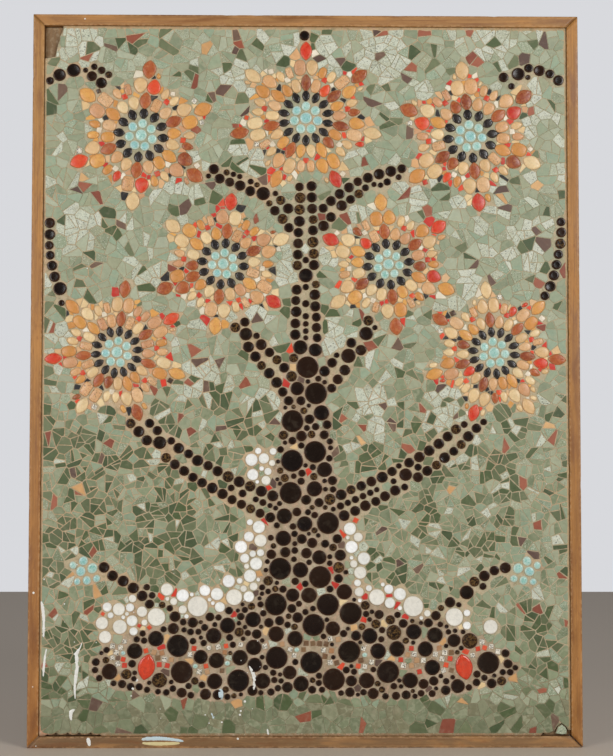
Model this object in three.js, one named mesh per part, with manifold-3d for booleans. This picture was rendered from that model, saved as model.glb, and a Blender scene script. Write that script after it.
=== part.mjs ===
// Framed mosaic panel: cut and pressed ceramic tiles bedded in mortar on a board, with mitred battens
// nailed round its edge. A tree of dark discs stands on a low mound and carries seven rosettes.
// Millimetres; X to the right, Z up, the picture faces -Y, and the board's back lies in the plane Y = 0.
import * as THREE from "three";
import { mergeGeometries, mergeVertices } from "three/addons/utils/BufferGeometryUtils.js";
import Module from "manifold-3d";

const wasm = await Module();
wasm.setup();

// Driving dimensions
const PANEL_WIDTH = 914;
const PANEL_HEIGHT = 1219;
const BATTEN_WIDTH = 19;
const BATTEN_DEPTH = 32;
const BATTEN_CHAMFER = 1.5;
const BOARD_THICKNESS = 19;
const BED_THICKNESS = 7.7;
const FIT_GAP = 0.3;
const BED_EDGE_GAP = 0.6;
const TILE_THICKNESS = 6;
const TILE_PROUD = 2;
const FUSED_DEPTH = 2;
const JOINT = 1.5;

// How the tiles are shared out between nodes of their own and the bed
const GIANT_COUNT = 22;
const GIANT_RADII = [16.5, 18.5];
const BIG_COUNT = 46;
const BIG_RADII = [10.5, 13];
const OWN_BIG_DISCS = 21;
const GIANT_SIDES = 11;
const BIG_SIDES = 8;
const SMALL_SIDES = 6;
const SMALLEST_RAISED_RADIUS = 8.7;
const LEAF_SHOULDER = 0.4;

const FIELD_HALF_WIDTH = PANEL_WIDTH / 2 - BATTEN_WIDTH;
const FIELD_HALF_HEIGHT = PANEL_HEIGHT / 2 - BATTEN_WIDTH;
const BED_BACK = BOARD_THICKNESS + FIT_GAP;
const BED_FRONT = BED_BACK + BED_THICKNESS;

// Seven rosettes: centre, reach and number of arms
const ROSETTES = [
  { x: 0, z: 436, reach: 126, arms: 7 },
  { x: 276, z: 406, reach: 124, arms: 6 },
  { x: -276, z: 406, reach: 124, arms: 6 },
  { x: 138, z: 190, reach: 116, arms: 6 },
  { x: -138, z: 190, reach: 116, arms: 6 },
  { x: 314, z: 42, reach: 117, arms: 7 },
  { x: -314, z: 42, reach: 117, arms: 7 },
];
const ROSETTE_LEAN = 0.12;

// Places and sizes in a rosette, given for one with this reach and scaled to the others
const DRAWN_REACH = 116;
const DRAWN_ARMS = 6.6;
const BOSS_WIDTH = 52;
const BOSS_PEBBLES = 7;
const PEBBLE_NOTCH = 0.78;
const CALYX_RADIUS = 42;
const NOTCH_TILE = { radius: 66, claim: 5.3 };

// Mound and trunk
const MOUND_HALF_WIDTH = 352;
const MOUND_TOP = -388;
const MOUND_BOTTOM = -527;
const TRUNK_FOOT = -400;
const TRUNK_HEAD = 66;
const TRUNK_FOOT_HALF_WIDTH = 76;
const TRUNK_HEAD_HALF_WIDTH = 28;
const SCATTER_HALF_WIDTH = 355;
const SCATTER_FOOT = -532;

// Limbs: four control points of the centre line, then half width at its start and end. The side
// limbs stand on the right and have a mirror twin on the left.
const LEADER = [[0, 20], [0, 120], [0, 220], [0, 322], 28, 18];
const TOP_TWIG = [[0, 560], [0, 570], [0, 580], [0, 590], 11, 11];
const SIDE_LIMBS = [
  [[30, -225], [110, -190], [215, -150], [288, -62], 27, 19],
  [[16, -30], [50, 20], [82, 40], [112, 92], 23, 17],
  [[0, 225], [40, 300], [105, 342], [180, 345], 19, 15],
  [[338, 500], [365, 524], [400, 522], [436, 492], 17, 9],
  [[398, 124], [418, 160], [428, 205], [428, 262], 13, 8],
  [[210, -412], [250, -370], [285, -330], [335, -318], 17, 13],
];
const LIMB_STEPS = 400;
const LIMB_DISC_RADII = [7.4, 9.4];
const LIMB_MIDDLES = [0.18, 0.5, 0.82];
const MIDDLE_DISC_RADII = [10.5, 12.5];

// White discs along the mound's shoulders: distance from the middle, radius
const SHOULDER_DISCS = [[118, 13.5], [178, 17], [246, 15], [306, 12]];
const SHOULDER_LIFT = 0.9;
const RED_LEAF = { x: 262, z: -478, length: 44, width: 29, lean: 0.2 };

// The corner piece that is missing at the top left, the broken lower edge and the loose corner chunk,
// each measured from the nearest inner corner of the frame
const LOST_CORNER = [
  [31, 0], [29, 10], [25, 17], [24.5, 24], [21.5, 33], [19, 44], [17.5, 52], [10, 53.5], [0, 55],
];
const BROKEN_EDGE = { start: 9, end: 104, waves: 5, depth: 6.4 };
const CHUNK_BAY = [
  [50, 0], [46, 5], [40, 3], [33, 5], [27, 8], [22.5, 15.5], [15, 20], [7.5, 14.5], [4.5, 9], [0, 9],
];
const CHUNK = [[25.3, 3.6], [21.6, 14.2], [15, 18.4], [9, 13.6], [6.6, 9], [6.8, 3], [14, 1.6]];

const material = (color, roughness) => new THREE.MeshStandardMaterial({ color, roughness, metalness: 0 });
const finishes = {
  board: material("#7a5233", 0.85),
  batten: material("#9a6a3f", 0.55),
  mosaic: material("#8b9a7c", 0.6),
  dark: material("#1b120f", 0.25),
  white: material("#e6e4dd", 0.3),
  red: material("#cf4a26", 0.3),
};

// A seeded stream of numbers, so that the hand-laid tiles fall the same way each time
class Draws {
  constructor(seed) {
    this.state = seed;
  }

  next() {
    this.state = (this.state * 1664525 + 1013904223) % 4294967296;
    return this.state / 4294967296;
  }

  between(low, high) {
    return low + (high - low) * this.next();
  }
}

// Every tile claims its place with one or more circles
const claimed = [];

function room(x, z, most) {
  let free = Math.min(most, FIELD_HALF_WIDTH - Math.abs(x), FIELD_HALF_HEIGHT - Math.abs(z));
  for (const [cx, cz, radius] of claimed) {
    free = Math.min(free, Math.sqrt((x - cx) ** 2 + (z - cz) ** 2) - radius);
  }
  return free;
}

const tiles = [];

function layDisc(kind, x, z, radius) {
  tiles.push({ kind, x, z, angle: 0, length: 2 * radius, width: 2 * radius });
  claimed.push([x, z, radius]);
}

// A leaf narrows to both ends, a pillow hardly does
function layLong(kind, x, z, length, width, angle) {
  tiles.push({ kind, x, z, angle, length, width });
  const slim = width / 2;
  const leaf = kind.endsWith("leaf");
  const run = length / 2 - slim * (leaf ? 0.35 : 0.8);
  for (let t = -1; t <= 1; t += 0.5) {
    const radius = slim * (1 - (leaf ? 0.62 : 0.12) * t * t);
    claimed.push([x + Math.cos(angle) * run * t, z + Math.sin(angle) * run * t, radius]);
  }
}

// One rosette: a boss of pebbles, then arms of petals with a leaf at the tip
function layRosette({ x, z, reach, arms }) {
  const k = reach / DRAWN_REACH;
  const pitch = (2 * Math.PI) / arms;
  const wide = DRAWN_ARMS / arms;
  const turn = Math.PI / 2 + ROSETTE_LEAN * Math.sign(x);
  const petal = (kind, radius, bearing, length, width, angle) =>
    layLong(kind, x + Math.cos(bearing) * radius * k, z + Math.sin(bearing) * radius * k,
      length * k, width * k, angle);
  tiles.push({ kind: "boss", x, z, angle: 0, length: BOSS_WIDTH * k, width: BOSS_WIDTH * k });
  claimed.push([x, z, CALYX_RADIUS * k]);
  for (let arm = 0; arm < arms; arm += 1) {
    const a = turn + pitch * arm;
    petal("inner leaf", 55, a, 27, 15 * wide, a);
    for (const side of [-1, 1]) {
      petal("inner pillow", 52, a + side * pitch * 0.33, 21, 14 * wide, a + side * pitch * 0.33);
      petal("pillow", 79, a + side * 0.125 * wide, 24, 17.5 * wide, a + side * (0.125 * wide - 0.1));
      petal("inner pillow", 75, a + side * 0.37 * wide, 18, 11, a + side * 0.35);
    }
    petal("tip leaf", 105, a, 29, 18 * wide, a);
    const out = NOTCH_TILE.radius * k;
    const between = a + pitch / 2;
    claimed.push([x + Math.cos(between) * out, z + Math.sin(between) * out, NOTCH_TILE.claim * k]);
  }
}

const moundTop = (x) => MOUND_TOP + 40 * Math.exp(-((x / 130) ** 2)) - 46 * (x / 350) ** 2;
const moundBottom = (x) => MOUND_BOTTOM + 5 * Math.cos(x / 46);

function inMound(x, z, radius) {
  if (Math.abs(x) > MOUND_HALF_WIDTH - radius) return false;
  const round = Math.sqrt(Math.max(0, 1 - (x / MOUND_HALF_WIDTH) ** 8));
  const middle = (moundTop(x) + moundBottom(x)) / 2;
  return Math.abs(z - middle) < ((moundTop(x) - moundBottom(x)) / 2) * round - radius;
}

function inTrunk(x, z, radius) {
  const rise = (z - TRUNK_FOOT) / (TRUNK_HEAD + 4 - TRUNK_FOOT);
  const taper = TRUNK_FOOT_HALF_WIDTH * (1 - rise) + TRUNK_HEAD_HALF_WIDTH * rise;
  const half = taper + 26 * Math.exp(-(z - TRUNK_FOOT) / 40);
  return z > TRUNK_FOOT - 20 && z < TRUNK_HEAD && Math.abs(x) < half - radius;
}

// Discs scattered over mound and trunk, each as large as the place allows
function scatterDiscs(kind, draws, tries, [low, high], limit, joint) {
  let placed = 0;
  for (let i = 0; i < tries; i += 1) {
    const x = draws.between(-SCATTER_HALF_WIDTH, SCATTER_HALF_WIDTH);
    const z = draws.between(SCATTER_FOOT, TRUNK_HEAD);
    if (placed >= limit) continue;
    const radius = room(x, z, high + joint) - joint;
    if (radius < low) continue;
    if (!inMound(x, z, radius) && !inTrunk(x, z, radius)) continue;
    layDisc(kind, x, z, radius);
    placed += 1;
  }
}

// A limb as a curve with its half widths, mirrored to the left when side is -1
function makeLimb([a, b, c, d, startHalf, endHalf], side = 1) {
  const controls = [a, b, c, d].map(([x, z]) => new THREE.Vector2(side * x, z));
  return { curve: new THREE.CubicBezierCurve(...controls), startHalf, endHalf };
}

// Point on a limb's centre line, the sideways direction there and the limb's half width
function limbAt({ curve, startHalf, endHalf }, t) {
  const point = curve.getPoint(t);
  const ahead = curve.getPoint(Math.min(1, t + 0.01));
  const behind = curve.getPoint(Math.max(0, t - 0.01));
  const along = ahead.sub(behind).normalize();
  const half = startHalf + (endHalf - startHalf) * t;
  return { x: point.x, z: point.y, sideX: -along.y, sideZ: along.x, half };
}

// A string of discs along one edge of a limb, each set down as soon as it fits
function stringDiscs(limb, row, draws) {
  let radius = draws.between(...LIMB_DISC_RADII);
  for (let i = 0; i <= LIMB_STEPS; i += 1) {
    const at = limbAt(limb, i / LIMB_STEPS);
    const off = row * (at.half - radius);
    const x = at.x + at.sideX * off;
    const z = at.z + at.sideZ * off;
    if (room(x, z, radius + JOINT) < radius + JOINT) continue;
    layDisc("disc", x, z, radius);
    radius = draws.between(...LIMB_DISC_RADII);
  }
}

function layLimb(limb, draws) {
  for (const middle of LIMB_MIDDLES) {
    const at = limbAt(limb, middle + draws.between(-0.06, 0.06));
    const radius = draws.between(...MIDDLE_DISC_RADII);
    const wanted = draws.next() < 0.5;
    if (wanted && radius < at.half && room(at.x, at.z, radius + 2) >= radius + 2) {
      layDisc("disc", at.x, at.z, radius);
    }
  }
  stringDiscs(limb, 1, draws);
  stringDiscs(limb, -1, draws);
}

function layTree() {
  ROSETTES.forEach(layRosette);
  for (const side of [-1, 1]) {
    for (const [x, radius] of SHOULDER_DISCS) {
      layDisc("white", side * x, moundTop(x) + radius * SHOULDER_LIFT, radius);
    }
    layLong("red leaf", side * RED_LEAF.x, RED_LEAF.z, RED_LEAF.length, RED_LEAF.width,
      Math.PI / 2 + side * RED_LEAF.lean);
  }
  const bodyDraws = new Draws(2024);
  scatterDiscs("giant", bodyDraws, 700, GIANT_RADII, GIANT_COUNT, 3);
  scatterDiscs("big", bodyDraws, 2500, BIG_RADII, BIG_COUNT, 2);
  const limbDraws = new Draws(77);
  layLimb(makeLimb(LEADER), limbDraws);
  layLimb(makeLimb(TOP_TWIG), limbDraws);
  for (const side of [1, -1]) {
    for (const limb of SIDE_LIMBS) layLimb(makeLimb(limb, side), limbDraws);
  }
}

// Outlines are lists of [x, z], counter-clockwise as seen from the front
function turned(points, x, z, angle) {
  const cos = Math.cos(angle);
  const sin = Math.sin(angle);
  return points.map(([u, v]) => [x + u * cos - v * sin, z + u * sin + v * cos]);
}

function roundOutline(radius, sides) {
  const corner = (i) => (2 * Math.PI * (i + 0.5)) / sides;
  const point = (_, i) => [radius * Math.cos(corner(i)), radius * Math.sin(corner(i))];
  return Array.from({ length: sides }, point);
}

// The outer edge of a ring of pebbles that touch each other
function scallopedOutline(radius, pebbles) {
  const drawnIn = ([u, v], i) => (i % 2 ? [u, v] : [u * PEBBLE_NOTCH, v * PEBBLE_NOTCH]);
  return roundOutline(radius, 2 * pebbles).map(drawnIn);
}

function tileOutline(tile, sides, grow = 0) {
  const u = tile.length / 2 + grow;
  const v = tile.width / 2 + grow;
  let points = roundOutline(u, sides);
  const shoulder = u * LEAF_SHOULDER;
  if (tile.kind.endsWith("leaf")) {
    points = [[u, 0], [shoulder, v], [-shoulder, v], [-u, 0], [-shoulder, -v], [shoulder, -v]];
  }
  if (tile.kind.endsWith("pillow")) points = [[u, v], [-u, v], [-u, -v], [u, -v]];
  if (tile.kind === "boss") points = scallopedOutline(u, BOSS_PEBBLES);
  return turned(points, tile.x, tile.z, tile.angle);
}

// A flat plate of the given outline between two distances in front of the wall
function plate(outline, back, front) {
  const shape = new THREE.Shape(outline.map(([x, z]) => new THREE.Vector2(x, z)));
  const geometry = new THREE.ExtrudeGeometry(shape, { depth: front - back, bevelEnabled: false });
  geometry.rotateX(Math.PI / 2);
  geometry.translate(0, -back, 0);
  return geometry;
}

function welded(geometry) {
  geometry.deleteAttribute("normal");
  geometry.deleteAttribute("uv");
  return mergeVertices(geometry, 1e-4);
}

function solid(geometries) {
  const joined = welded(mergeGeometries(geometries));
  const vertProperties = new Float32Array(joined.attributes.position.array);
  const triVerts = new Uint32Array(joined.index.array);
  return new wasm.Manifold(new wasm.Mesh({ numProp: 3, vertProperties, triVerts }));
}

function geometryOf(body) {
  const mesh = body.getMesh();
  const geometry = new THREE.BufferGeometry();
  geometry.setAttribute("position", new THREE.BufferAttribute(new Float32Array(mesh.vertProperties), 3));
  geometry.setIndex(new THREE.BufferAttribute(new Uint32Array(mesh.triVerts), 1));
  return geometry;
}

// Outline of the mortar bed: the lost corner at the top left, the wavy broken edge at the bottom left
// and the bay round the loose chunk at the bottom right
function bedOutline() {
  const right = FIELD_HALF_WIDTH - BED_EDGE_GAP;
  const top = FIELD_HALF_HEIGHT - BED_EDGE_GAP;
  const wave = [];
  for (let i = 0; i <= BROKEN_EDGE.waves * 4; i += 1) {
    const t = i / (BROKEN_EDGE.waves * 4);
    const bite = Math.abs(Math.sin(Math.PI * BROKEN_EDGE.waves * t)) * 0.6 + 0.4;
    const lift = BROKEN_EDGE.depth * (i === 0 || t === 1 ? 0 : 1.25 - bite);
    wave.push([-right + BROKEN_EDGE.start + (BROKEN_EDGE.end - BROKEN_EDGE.start) * t, -top + lift]);
  }
  const bay = CHUNK_BAY.map(([u, v]) => [right - u, -top + v]);
  const lost = LOST_CORNER.map(([u, v]) => [-right + u, top - v]);
  return [[-right, -top], ...wave, ...bay, [right, top], ...lost];
}

function makeBed(ownTiles, fusedTiles) {
  const slab = solid([plate(bedOutline(), BED_BACK, BED_FRONT)]);
  const seatFloor = BED_FRONT + TILE_PROUD - TILE_THICKNESS - FIT_GAP;
  const seats = ownTiles.map((tile) =>
    plate(tileOutline(tile, tile.sides, FIT_GAP), seatFloor, BED_FRONT + 1));
  const raised = fusedTiles.map((tile) =>
    plate(tileOutline(tile, tile.sides), BED_FRONT - FUSED_DEPTH, BED_FRONT + TILE_PROUD));
  return geometryOf(slab.subtract(solid(seats)).add(solid(raised)));
}

// A batten along the top of a frame of the given half span, mitred at both ends
function battenGeometry(length, halfSpan) {
  const deep = BATTEN_DEPTH;
  const wide = BATTEN_WIDTH - FIT_GAP;
  const cut = BATTEN_CHAMFER;
  const section = [[0, 0], [deep - cut, 0], [deep, cut], [deep, wide - cut], [deep - cut, wide], [0, wide]];
  const shape = new THREE.Shape(section.map(([depth, across]) => new THREE.Vector2(depth, across)));
  const geometry = new THREE.ExtrudeGeometry(shape, { depth: 1, bevelEnabled: false });
  const at = geometry.attributes.position;
  for (let i = 0; i < at.count; i += 1) {
    const across = at.getY(i);
    const run = length - 2 * across - FIT_GAP;
    at.setXYZ(i, (at.getZ(i) - 0.5) * run, -at.getX(i), halfSpan - across);
  }
  return welded(geometry);
}

function named(name, geometry, finish) {
  const mesh = new THREE.Mesh(geometry, finish);
  mesh.name = name;
  return mesh;
}

const panel = new THREE.Group();
panel.name = "mosaic_panel";

layTree();
const bigs = tiles.filter((tile) => tile.kind === "big");
const giants = tiles.filter((tile) => tile.kind === "giant");
const whites = tiles.filter((tile) => tile.kind === "white");
const reds = tiles.filter((tile) => tile.kind === "red leaf");
const bosses = tiles.filter((tile) => tile.kind === "boss");
const strings = tiles.filter((tile) => tile.kind === "disc" && tile.length / 2 >= SMALLEST_RAISED_RADIUS);
const petals = tiles.filter((tile) => tile.kind === "tip leaf" || tile.kind === "pillow");
[...giants, ...whites].forEach((tile) => { tile.sides = GIANT_SIDES; });
bigs.forEach((tile) => { tile.sides = BIG_SIDES; });
strings.forEach((tile) => { tile.sides = SMALL_SIDES; });

const ownBigs = bigs.slice(0, OWN_BIG_DISCS);
const ownTiles = [...giants, ...ownBigs, ...whites, ...reds];
const fusedTiles = [...bigs.slice(OWN_BIG_DISCS), ...strings, ...petals, ...bosses];

const fieldWidth = FIELD_HALF_WIDTH - FIT_GAP;
const fieldHeight = FIELD_HALF_HEIGHT - FIT_GAP;
const boardOutline = [[1, 1], [-1, 1], [-1, -1], [1, -1]].map(([x, z]) => [x * fieldWidth, z * fieldHeight]);
panel.add(named("backing_board", welded(plate(boardOutline, 0, BOARD_THICKNESS)), finishes.board));

const battens = [
  ["frame_top", PANEL_WIDTH, PANEL_HEIGHT / 2, 0],
  ["frame_right", PANEL_HEIGHT, PANEL_WIDTH / 2, Math.PI / 2],
  ["frame_bottom", PANEL_WIDTH, PANEL_HEIGHT / 2, Math.PI],
  ["frame_left", PANEL_HEIGHT, PANEL_WIDTH / 2, -Math.PI / 2],
];
for (const [name, length, halfSpan, turn] of battens) {
  const batten = named(name, battenGeometry(length, halfSpan), finishes.batten);
  batten.rotation.y = turn;
  panel.add(batten);
}

panel.add(named("mosaic_bed", makeBed(ownTiles, fusedTiles), finishes.mosaic));

const chunkOutline = CHUNK.map(([u, v]) => [FIELD_HALF_WIDTH - u, -FIELD_HALF_HEIGHT + v]);
panel.add(named("loose_corner_chunk", welded(plate(chunkOutline, BED_BACK, BED_FRONT)), finishes.mosaic));

function addTiles(group, prefix, finish) {
  group.forEach((tile, i) => {
    const front = BED_FRONT + TILE_PROUD;
    const geometry = welded(plate(tileOutline(tile, tile.sides), front - TILE_THICKNESS, front));
    panel.add(named(`${prefix}_${String(i + 1).padStart(2, "0")}`, geometry, finish));
  });
}
addTiles(giants, "giant_dark_disc", finishes.dark);
addTiles(ownBigs, "dark_disc", finishes.dark);
addTiles(whites, "white_disc", finishes.white);
addTiles(reds, "red_leaf_tile", finishes.red);

export default panel;
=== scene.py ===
"""A framed mosaic panel: a tree of dark glazed discs with seven rosettes, in a ground of broken sage tiles.

The file follows the panel as it is put together: board, battens, mortar, tiles, then the paint that
was dripped on it later. Sizes are in millimetres and become metres where a mesh is made. X runs to the
right, Z up, and the picture faces -Y. Depths are measured forward from the back of the board.
"""
import math

import bpy
import numpy as np
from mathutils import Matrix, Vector, geometry, noise


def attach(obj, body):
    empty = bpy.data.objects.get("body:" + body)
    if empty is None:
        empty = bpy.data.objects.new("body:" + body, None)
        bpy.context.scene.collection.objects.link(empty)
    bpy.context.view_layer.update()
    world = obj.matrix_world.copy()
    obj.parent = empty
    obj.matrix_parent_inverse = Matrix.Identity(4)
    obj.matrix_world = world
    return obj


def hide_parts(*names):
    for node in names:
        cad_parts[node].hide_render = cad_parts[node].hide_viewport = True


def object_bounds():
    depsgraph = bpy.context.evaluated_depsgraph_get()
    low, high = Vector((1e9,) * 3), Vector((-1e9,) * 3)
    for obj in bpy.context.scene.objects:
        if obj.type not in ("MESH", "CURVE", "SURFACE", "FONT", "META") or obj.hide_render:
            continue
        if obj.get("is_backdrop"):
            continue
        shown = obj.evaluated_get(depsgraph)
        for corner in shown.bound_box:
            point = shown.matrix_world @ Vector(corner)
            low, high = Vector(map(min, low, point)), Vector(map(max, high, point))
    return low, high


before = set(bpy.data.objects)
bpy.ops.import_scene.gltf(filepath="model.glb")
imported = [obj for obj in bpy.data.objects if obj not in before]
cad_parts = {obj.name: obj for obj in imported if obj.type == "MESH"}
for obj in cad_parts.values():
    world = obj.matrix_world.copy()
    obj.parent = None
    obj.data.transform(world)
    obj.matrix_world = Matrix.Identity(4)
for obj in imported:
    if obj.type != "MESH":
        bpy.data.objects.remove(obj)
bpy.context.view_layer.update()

scene = bpy.context.scene

# Camera
# A long lens 3.2 m in front of the picture, a little left of its middle and low, so that the panel
# shows almost square on.
lens = bpy.data.cameras.new("camera")
lens.lens = 91.0
lens.clip_end = 60.0
camera = bpy.data.objects.new("camera", lens)
camera.location = (-0.0484, -3.2, -0.1892)
camera.rotation_euler = (math.radians(93.401), math.radians(-0.05), math.radians(-0.9))
scene.collection.objects.link(camera)
scene.camera = camera


# Backing board
# A sheet of 19 mm fir plywood, cut to lie inside the battens, with its face veneer running upright. It
# shows at the back, and in front where the mosaic has broken away from the top left corner.
HALF_WIDTH, HALF_HEIGHT = 438.0, 590.5
BOARD_FRONT = 19.0
BOARD_GAP = 0.3
LOST_CORNER = [(31, 0), (29, 10), (25, 17), (24.5, 24), (21.5, 33), (19, 44), (17.5, 52), (10, 53.5), (0, 55)]


def paint(red, green, blue):
    """A colour as the eye reads it, 0 to 255, turned into the light that it sends back."""
    shares = [channel / 255 for channel in (red, green, blue)]
    return [s / 12.92 if s < 0.04045 else ((s + 0.055) / 1.055) ** 2.4 for s in shares]


class Finish:
    """A surface finish: one material, whose nodes are laid one on the other."""

    def __init__(self, name, **sockets):
        self.material = bpy.data.materials.new(name)
        self.material.use_nodes = True
        self.tree = self.material.node_tree
        self.shader = self.tree.nodes["Principled BSDF"]
        for socket, value in sockets.items():
            self.shader.inputs[socket.replace("_", " ")].default_value = value

    def node(self, kind, inputs, **settings):
        made = self.tree.nodes.new("ShaderNode" + kind)
        for setting, value in settings.items():
            setattr(made, setting, value)
        for socket, value in inputs.items():
            if isinstance(value, bpy.types.NodeSocket):
                self.tree.links.new(value, made.inputs[socket])
            else:
                made.inputs[socket].default_value = value
        return made

    def place(self):
        """The point on the panel, in millimetres."""
        where = self.node("TexCoord", {}).outputs["Object"]
        return self.node("VectorMath", {0: where, "Scale": 1000.0}, operation="SCALE").outputs[0]

    def kept(self, name):
        """What the mesh's points keep under this name."""
        return self.node("Attribute", {}, attribute_name=name).outputs["Vector"]

    def parts(self, vector):
        return self.node("SeparateXYZ", {0: vector}).outputs

    def stretched(self, where, x, y, z):
        return self.node("VectorMath", {0: where, 1: (x, y, z)}, operation="MULTIPLY").outputs[0]

    def clouds(self, where, size, detail=2.0, warp=0.0):
        """Soft blotches about this many millimetres across, from 0 to 1."""
        inputs = {"Vector": where, "Scale": 1.0 / size, "Detail": detail, "Distortion": warp}
        return self.node("TexNoise", inputs).outputs[0]

    def between(self, value, low, high, at_low=0.0, at_high=1.0):
        inputs = {0: value, 1: low, 2: high, 3: at_low, 4: at_high}
        return self.node("MapRange", inputs).outputs[0]

    def times(self, a, b):
        return self.node("Math", {0: a, 1: b}, operation="MULTIPLY").outputs[0]

    def shade(self, colour, factor):
        return self.node("VectorMath", {0: colour, "Scale": factor}, operation="SCALE").outputs[0]

    def over(self, colour, coat, share):
        """A coat laid over a colour where share is 1."""
        coat = coat if isinstance(coat, bpy.types.NodeSocket) else (*coat, 1.0)
        colour = colour if isinstance(colour, bpy.types.NodeSocket) else (*colour, 1.0)
        return self.node("Mix", {0: share, 6: colour, 7: coat}, data_type="RGBA").outputs[2]

    def finish(self, colour, rough, height, relief):
        """Joins colour, roughness and a relief of so many millimetres to the shader."""
        bump = self.node("Bump", {"Height": height, "Distance": relief / 1000.0, "Strength": 1.0})
        self.tree.links.new(colour, self.shader.inputs["Base Color"])
        self.tree.links.new(rough, self.shader.inputs["Roughness"])
        self.tree.links.new(bump.outputs[0], self.shader.inputs["Normal"])
        return self.material


def make_piece(name, points, faces, material, slot, *nodes, smooth=False):
    """A mesh from points in millimetres (x, depth, z), held on the panel in place of these solids."""
    mesh = bpy.data.meshes.new(name)
    places = np.asarray(points, float) * (0.001, -0.001, 0.001)
    mesh.from_pydata(places.tolist(), [], faces)
    mesh.materials.append(material)
    mesh.polygons.foreach_set("use_smooth", [smooth] * len(mesh.polygons))
    mesh.update()
    piece = bpy.data.objects.new(name, mesh)
    scene.collection.objects.link(piece)
    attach(piece, "root")
    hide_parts(*nodes)
    return piece


def walls(rings, count):
    """Faces between rings of count points each, listed from the back forward."""
    return [
        (ring * count + i, ring * count + (i + 1) % count, (ring + 1) * count + (i + 1) % count, (ring + 1) * count + i)
        for ring in range(rings - 1)
        for i in range(count)
    ]


def plywood():
    finish = Finish("fir_plywood")
    place = finish.place()
    along = finish.stretched(place, 1.0, 1.0, 0.035)
    figure = finish.clouds(along, 26.0, 3.0, 1.6)
    streaks = finish.clouds(finish.stretched(place, 1.0, 1.0, 0.012), 1.6, 3.0)
    colour = finish.over(paint(176, 132, 86), paint(124, 82, 46), finish.between(figure, 0.36, 0.66))
    colour = finish.shade(colour, finish.between(streaks, 0.25, 0.75, 0.8, 1.12))
    knots = finish.node("TexVoronoi", {"Vector": finish.stretched(place, 1.0, 1.0, 0.55), "Scale": 0.0045})
    knot = finish.between(knots.outputs["Distance"], 0.02, 0.07, 1.0, 0.0)
    colour = finish.over(colour, paint(74, 43, 24), finish.times(knot, 0.85))
    damp = finish.clouds(place, 240.0, 4.0, 0.8)
    colour = finish.over(colour, paint(92, 66, 44), finish.between(damp, 0.52, 0.7, 0.0, 0.55))
    # Dried glue and mortar dust over the board's face
    parts = finish.parts(place)
    face = finish.between(parts["Y"], -18.6, -18.0, 1.0, 0.0)
    residue = finish.between(finish.clouds(place, 7.0, 5.0, 0.6), 0.5, 0.62, 0.0, 0.55)
    colour = finish.over(colour, paint(112, 94, 66), finish.times(face, 0.6))
    colour = finish.over(colour, paint(151, 132, 104), finish.times(face, residue))
    rough = finish.between(streaks, 0.3, 0.7, 0.62, 0.82)
    return finish.finish(colour, rough, streaks, 0.25)


def make_board():
    wide, high, ease = HALF_WIDTH - BOARD_GAP, HALF_HEIGHT - BOARD_GAP, 0.8
    corners = [(wide, high), (-wide, high), (-wide, -high), (wide, -high)]
    outline = []
    for (ax, az), (bx, bz) in zip(corners, corners[1:] + corners[:1]):
        steps = 24
        outline += [(ax + (bx - ax) * i / steps, az + (bz - az) * i / steps) for i in range(steps)]
    points = []
    for inset, depth in ((ease, 0.0), (0.0, ease), (0.0, BOARD_FRONT - ease), (ease, BOARD_FRONT)):
        points += [(x * (1 - inset / wide), depth, z * (1 - inset / high)) for x, z in outline]
    count = len(outline)
    faces = walls(4, count)
    faces.append(tuple(reversed(range(count))))
    faces.append(tuple(range(3 * count, 4 * count)))
    make_piece("plywood_board", points, faces, plywood(), "board_wood", "backing_board")


make_board()


# Frame battens
# Four softwood battens, 19 by 32 mm, varnished an orange brown, mitred at the corners and nailed to the
# board's edge. The varnish is worn and patchy, and the mitre at the bottom right has opened.
BATTEN_WIDTH, BATTEN_DEPTH = 18.7, 32.0
BATTEN_CORNER = 1.6
BATTENS = {
    # name: (turn, length, half span, tone at its start, tone at its end, gap at its start, gap at its end)
    "top": (0, 914, 609.5, (150, 106, 58), (160, 116, 66), 0.3, 0.3),
    "right": (1, 1219, 457, (165, 116, 58), (148, 98, 42), 0.3, 1.3),
    "bottom": (2, 914, 609.5, (130, 97, 60), (114, 84, 52), 2.2, 0.3),
    "left": (3, 1219, 457, (152, 98, 42), (166, 121, 66), 0.3, 0.3),
}
# Nails through the outer faces, as places along each batten, and two pin holes in front on the left one
NAILS = {0: (-410, -205, 15, 212, 398), 1: (-560, -330, -95, 150, 372, 566), 2: (-402, -190, 24, 215, 405),
         3: (-562, -352, -120, 128, 360, 561)}
NAIL_DEPTH, NAIL_RADIUS = 9.5, 2.1
PIN_HOLES = [(-447.4, -455.0), (-448.2, 262.0), (-423.0, 561.0)]


class Draws:
    """A seeded stream of numbers, so that everything laid by hand falls the same way each time."""

    def __init__(self, seed):
        self.state = seed

    def next(self):
        self.state = (self.state * 1664525 + 1013904223) % 4294967296
        return self.state / 4294967296

    def between(self, low, high):
        return low + (high - low) * self.next()

    def pick(self, options):
        return options[int(self.next() * len(options))]


def keep(mesh, name, values):
    """Stores a colour or a place of its own with every point of a mesh."""
    layer = mesh.attributes.new(name, "FLOAT_VECTOR", "POINT")
    layer.data.foreach_set("vector", np.asarray(values, np.float32).ravel())


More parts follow.
